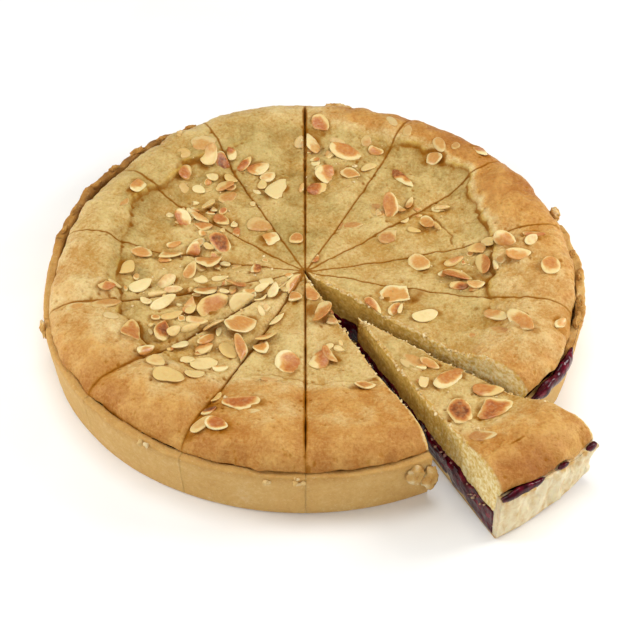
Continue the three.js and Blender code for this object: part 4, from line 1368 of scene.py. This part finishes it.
def add_crust_crumbs(shape, index, draw):
    for x, y, spread, count, size in CRUMBS:
        for _ in range(count):
            at = scatter(draw, x, y, spread, 0.7)
            width = size * draw(0.5, 1.2)
            if slice_of(*at) == index:
                level = float(height_at(index, np.array(at[0]), np.array(at[1])))
                add_crumb(shape, np.array((*at, level + 0.2 * width)), width, draw)


def add_jam_crumbs(shape, index, draw):
    """Crumbs in the jam of a slice's clockwise face."""
    start, _ = slice_angles(index)
    outward, _ = next(cut_faces(index, slice_angles(index)))
    for _ in range(JAM_CRUMBS):
        along = draw(0.25, 0.97) * (BASE_RADIUS - WALL)
        up = lerp(2, JAM_TOP + 1, draw() ** 0.3)
        place = polar(along, start, up) + (*outward * JAM_CRUMB_STAND, 0.0)
        add_crumb(shape, place, draw(0.6, 1.8), draw, stain=draw(0.3, 0.9))


def add_edge_crumbs(shape, index, draw):
    """Crumbs along the crust's edge at a slice's open cuts."""
    angles = sponge_angles(index)
    for cut, (outward, opened) in zip(angles, cut_faces(index, angles)):
        for _ in range(EDGE_CRUMBS if opened else 0):
            along = 4 + 110 * draw() ** 1.4
            inside = draw(-0.2, 1.6)
            at = np.array((along * math.cos(cut), along * math.sin(cut))) - inside * outward
            level = float(height_at(index, at[0], at[1]))
            width = lerp(0.4, 1.8, draw() ** 2)
            add_crumb(shape, np.array((*at, level - 0.5 * draw())), width, draw)


def add_wall_crumbs(shape, index, draw):
    for degrees, count in WALL_CRUMBS:
        for _ in range(count if slice_towards(degrees) == index else 0):
            angle = math.radians(degrees) + draw(-0.02, 0.02)
            height = rim_height(angle) - draw(-0.5, 4)
            place = polar(reach(RIM_RADIUS, angle) + WALL_CRUMB_STAND, angle, height)
            add_crumb(shape, place, draw(1.2, 3.2), draw)


def make_crumbs(material):
    """Crumbs on the crust, in the jam of the drawn slice and along the front of the rim."""
    draw = Draws(CRUMB_SEED)
    for index in range(SLICE_COUNT):
        shape = Shape("tone", "stain")
        add_crust_crumbs(shape, index, draw)
        if index == DRAWN:
            add_jam_crumbs(shape, index, draw)
        add_edge_crumbs(shape, index, draw)
        add_wall_crumbs(shape, index, draw)
        if shape.count:
            piece = shape.to_piece(f"crumbs_{index + 1:02d}", material, index)


def colour(text):
    """A colour written as six hexadecimal digits, as the shader counts light."""
    channels = [int(text[i:i + 2], 16) / 255 for i in (0, 2, 4)]
    linear = [c / 12.92 if c <= 0.04045 else ((c + 0.055) / 1.055) ** 2.4 for c in channels]
    return (*linear, 1.0)


class Look:
    """A material, with short ways to add nodes to it."""

    def __init__(self, name):
        self.material = bpy.data.materials.new(name)
        self.material.use_nodes = True
        self.tree = self.material.node_tree
        self.shader = self.tree.nodes["Principled BSDF"]
        self.place = self.node("ShaderNodeTexCoord").outputs["Object"]

    def node(self, kind, **settings):
        node = self.tree.nodes.new(kind)
        for key, value in settings.items():
            setattr(node, key, value)
        return node

    def feed(self, socket, value):
        if isinstance(value, bpy.types.NodeSocket):
            self.tree.links.new(value, socket)
        else:
            socket.default_value = value

    def paint(self, name):
        """A value painted on the mesh."""
        return self.node("ShaderNodeAttribute", attribute_name=name).outputs["Fac"]

    def noise(self, size, detail=3.0, roughness=0.55):
        """Cloudy noise with features about as wide as the size in millimetres."""
        node = self.node("ShaderNodeTexNoise")
        self.feed(node.inputs["Vector"], self.place)
        self.feed(node.inputs["Scale"], 1 / (size * MM))
        self.feed(node.inputs["Detail"], detail)
        self.feed(node.inputs["Roughness"], roughness)
        return node.outputs["Fac"]

    def math(self, operation, a, b=0.0):
        node = self.node("ShaderNodeMath", operation=operation)
        self.feed(node.inputs[0], a)
        self.feed(node.inputs[1], b)
        return node.outputs[0]

    def spread(self, value, low, high, to_low=0.0, to_high=1.0):
        """Takes values from low to high smoothly to those from to_low to to_high."""
        node = self.node("ShaderNodeMapRange", interpolation_type="SMOOTHSTEP")
        for socket, number in zip(node.inputs, (value, low, high, to_low, to_high)):
            self.feed(socket, number)
        return node.outputs["Result"]

    def mix(self, share, a, b):
        node = self.node("ShaderNodeMix", data_type="RGBA")
        self.feed(node.inputs[0], share)
        self.feed(node.inputs[6], a)
        self.feed(node.inputs[7], b)
        return node.outputs[2]

    def ramp(self, value, *stops):
        """Colours over a value from 0 to 1, each stop being a place and a colour."""
        node = self.node("ShaderNodeValToRGB")
        ramp = node.color_ramp
        while len(ramp.elements) < len(stops):
            ramp.elements.new(1.0)
        for element, (position, tint) in zip(ramp.elements, stops):
            element.position = position
            element.color = colour(tint)
        self.feed(node.inputs["Fac"], value)
        return node.outputs["Color"]

    def bump(self, height, depth, below=None):
        """Relief as deep as the depth in millimetres."""
        node = self.node("ShaderNodeBump")
        self.feed(node.inputs["Height"], height)
        self.feed(node.inputs["Distance"], depth * MM)
        if below is not None:
            self.feed(node.inputs["Normal"], below)
        return node.outputs["Normal"]

    def finish(self, tint, roughness, normal=None, **others):
        self.feed(self.shader.inputs["Base Color"], tint)
        self.feed(self.shader.inputs["Roughness"], roughness)
        if normal is not None:
            self.feed(self.shader.inputs["Normal"], normal)
        for name, value in others.items():
            self.feed(self.shader.inputs[name.replace("_", " ")], value)
        return self.material


def sponge_look():
    look = Look("almond_sponge")
    cut = look.paint("cut")
    blotch = look.spread(look.noise(10.0, 4.0, 0.6), 0.3, 0.7, -0.05, 0.05)
    baked = look.math("ADD", look.paint("bake"), blotch)
    pebble = look.noise(1.7, 3.0, 0.6)
    grain = look.noise(0.9, 2.0)
    # Painted light and shade: the crust is paler on its bumps and darker in its dips
    relief = look.math("ADD", look.math("MULTIPLY", look.paint("raised"), 0.22), pebble)
    relief = look.math("ADD", relief, look.math("MULTIPLY", grain, 0.5))
    deep, light = look.ramp(baked, *SHADED_MOTTLE_TINTS), look.ramp(baked, *LIT_MOTTLE_TINTS)
    crust = look.mix(look.spread(relief, 0.3, 1.2, 0.17, 0.9), deep, light)
    # Painted shade in creases, cracks and cuts, and butter stain with painted shadow round the almonds
    crust = look.mix(look.spread(look.paint("crease"), 0.05, 0.8, 0.0, 0.9), crust, colour(SHADE_AND_BUTTER_TINT))
    # Painted light and shade on the crumb: paler towards the outer end of a cut face
    painted_shading = look.spread(look.paint("bake"), 0.2, 1.0, -0.1, 0.14)
    crumb = look.ramp(look.math("ADD", look.noise(2.0, 4.0, 0.6), painted_shading), *CRUMB_TINTS)
    tint = look.mix(cut, crust, crumb)
    smooth = look.spread(cut, 0.0, 1.0, 1.0, 0.35)
    normal = look.bump(look.math("MULTIPLY", pebble, smooth), 0.6, below=look.bump(grain, 0.25))
    roughness = look.spread(cut, 0.0, 1.0, 0.52, 0.9)
    shine = look.spread(look.paint("crease"), 0.0, 0.4, 0.22, 0.02)
    return look.finish(tint, roughness, normal, Specular_IOR_Level=shine, **SOFT_INSIDE)


def pastry_look():
    look = Look("pastry")
    mottle = look.spread(look.noise(3.0, 5.0, 0.7), 0.25, 0.75, -0.06, 0.06)
    tint = look.ramp(look.math("ADD", look.paint("bake"), mottle), *PASTRY_TINTS)
    crumbs = look.spread(look.noise(1.0, 2.0), 0.58, 0.74, 0.0, 0.25)
    tint = look.mix(crumbs, tint, colour(PASTRY_CRUMB_TINT))
    fine = look.bump(look.noise(0.9, 4.0, 0.65), 0.5)
    normal = look.bump(look.noise(3.0, 4.0, 0.6), 0.7, below=fine)
    return look.finish(tint, 0.7, normal, Specular_IOR_Level=0.25, **SOFT_INSIDE)


def jam_look():
    look = Look("jam")
    tint = look.ramp(look.noise(4.0, 3.0), *JAM_TINTS)
    normal = look.bump(look.noise(3.2, 1.0), 0.4)
    return look.finish(tint, 0.12, normal, Specular_IOR_Level=0.24)


def almond_look():
    look = Look("flaked_almond")
    mottle = look.spread(look.noise(2.5, 3.0), 0.25, 0.75, -0.08, 0.08)
    toasted = look.math("ADD", look.paint("toast"), mottle)
    tone = look.paint("tone")
    pale = look.mix(tone, *map(colour, PALE_ALMOND_TINTS))
    warm = look.mix(tone, *map(colour, WARM_ALMOND_TINTS))
    tint = look.mix(look.spread(toasted, 0.05, 0.45), pale, warm)
    tint = look.mix(look.spread(toasted, 0.4, 0.8), tint, colour(BROWN_ALMOND_TINT))
    tint = look.mix(look.spread(toasted, 0.78, 1.02), tint, colour(DARK_ALMOND_TINT))
    covered = look.spread(look.paint("sunk"), 0.0, 1.0, 0.0, 0.45)
    tint = look.mix(covered, tint, colour(SUNK_ALMOND_TINT))
    streaks = look.spread(look.noise(1.4, 3.0), 0.4, 0.7, 0.0, 0.2)
    tint = look.mix(streaks, tint, colour(ALMOND_STREAK_TINT))
    normal = look.bump(look.noise(1.5, 3.0), 0.25)
    return look.finish(tint, 0.34, normal, Specular_IOR_Level=0.5, **SOFT_INSIDE)


def crumb_look():
    look = Look("crumb")
    tint = look.mix(look.paint("tone"), *map(colour, LOOSE_CRUMB_TINTS))
    spots = look.spread(look.noise(0.8, 3.0), 0.4, 0.7, 0.0, 0.4)
    tint = look.mix(spots, tint, colour(CRUMB_SPOT_TINT))
    tint = look.mix(look.paint("stain"), tint, colour(STAINED_CRUMB_TINT))
    return look.finish(tint, 0.8, look.bump(look.noise(0.6, 3.0), 0.3))


def make_pieces():
    sponge, pastry, jam = sponge_look(), pastry_look(), jam_look()
    for index in range(SLICE_COUNT):
        make_sponge(index, sponge)
        make_case(index, pastry)
        if any(is_open(index)):
            make_jam_layer(index, jam)
        else:
            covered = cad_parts[f"jam_{index + 1:02d}"].data.materials
            covered.clear()
            covered.append(jam)
        if index in JAM_LIPS:
            make_jam_lip(index, jam)
    make_flakes(almond_look())
    make_crumbs(crumb_look())


def make_floor():
    look = Look("floor")
    material = look.finish(look.ramp(look.noise(60.0, 2.0), *FLOOR_TINTS), 0.9)
    mesh = bpy.data.meshes.new("floor")
    corners = [(x * FLOOR_HALF, y * FLOOR_HALF, 0) for x, y in ((-1, -1), (1, -1), (1, 1), (-1, 1))]
    mesh.from_pydata(corners, [], [(0, 1, 2, 3)])
    mesh.materials.append(material)
    floor = bpy.data.objects.new("floor", mesh)
    floor.location.z = -FLOOR_BELOW
    bpy.context.scene.collection.objects.link(floor)


def make_light(name, place, size, power):
    light = bpy.data.lights.new(name, "AREA")
    light.shape = "DISK"
    light.size = size
    light.energy = power
    lamp = bpy.data.objects.new(name, light)
    lamp.location = place
    lamp.visible_camera = False
    lamp.rotation_euler = (-Vector(place)).to_track_quat("-Z", "Y").to_euler()
    bpy.context.scene.collection.objects.link(lamp)


def make_lights():
    for name, place, size, power in LIGHTS:
        make_light(name, place, size, power)
    world = bpy.data.worlds.new("studio")
    world.use_nodes = True
    backdrop = world.node_tree.nodes["Background"]
    backdrop.inputs["Color"].default_value = WORLD_TINT
    backdrop.inputs["Strength"].default_value = WORLD_LIGHT
    bpy.context.scene.world = world


def make_camera():
    """Looks along +Y, down on the tart, aimed a little to one side as in the picture."""
    camera = bpy.data.cameras.new("camera")
    camera.sensor_width = SENSOR_WIDTH
    camera.lens = SENSOR_WIDTH * FOCAL_PIXELS / IMAGE_WIDTH
    stand = bpy.data.objects.new("camera", camera)
    back = Vector((0, -math.cos(CAMERA_ELEVATION), math.sin(CAMERA_ELEVATION)))
    right = Vector((1, 0, 0))
    up = back.cross(right)
    target = Vector((*TART_AXIS, CAMERA_AIM[1]))
    place = target + back * CAMERA_DISTANCE
    aim = target + right * CAMERA_AIM[0] + up * CAMERA_AIM[2]
    stand.location = place * MM
    stand.rotation_euler = (aim - place).to_track_quat("-Z", "Y").to_euler()
    bpy.context.scene.collection.objects.link(stand)
    bpy.context.scene.camera = stand


make_pieces()
make_floor()
make_lights()
make_camera()
bpy.context.scene.view_settings.view_transform = "Standard"
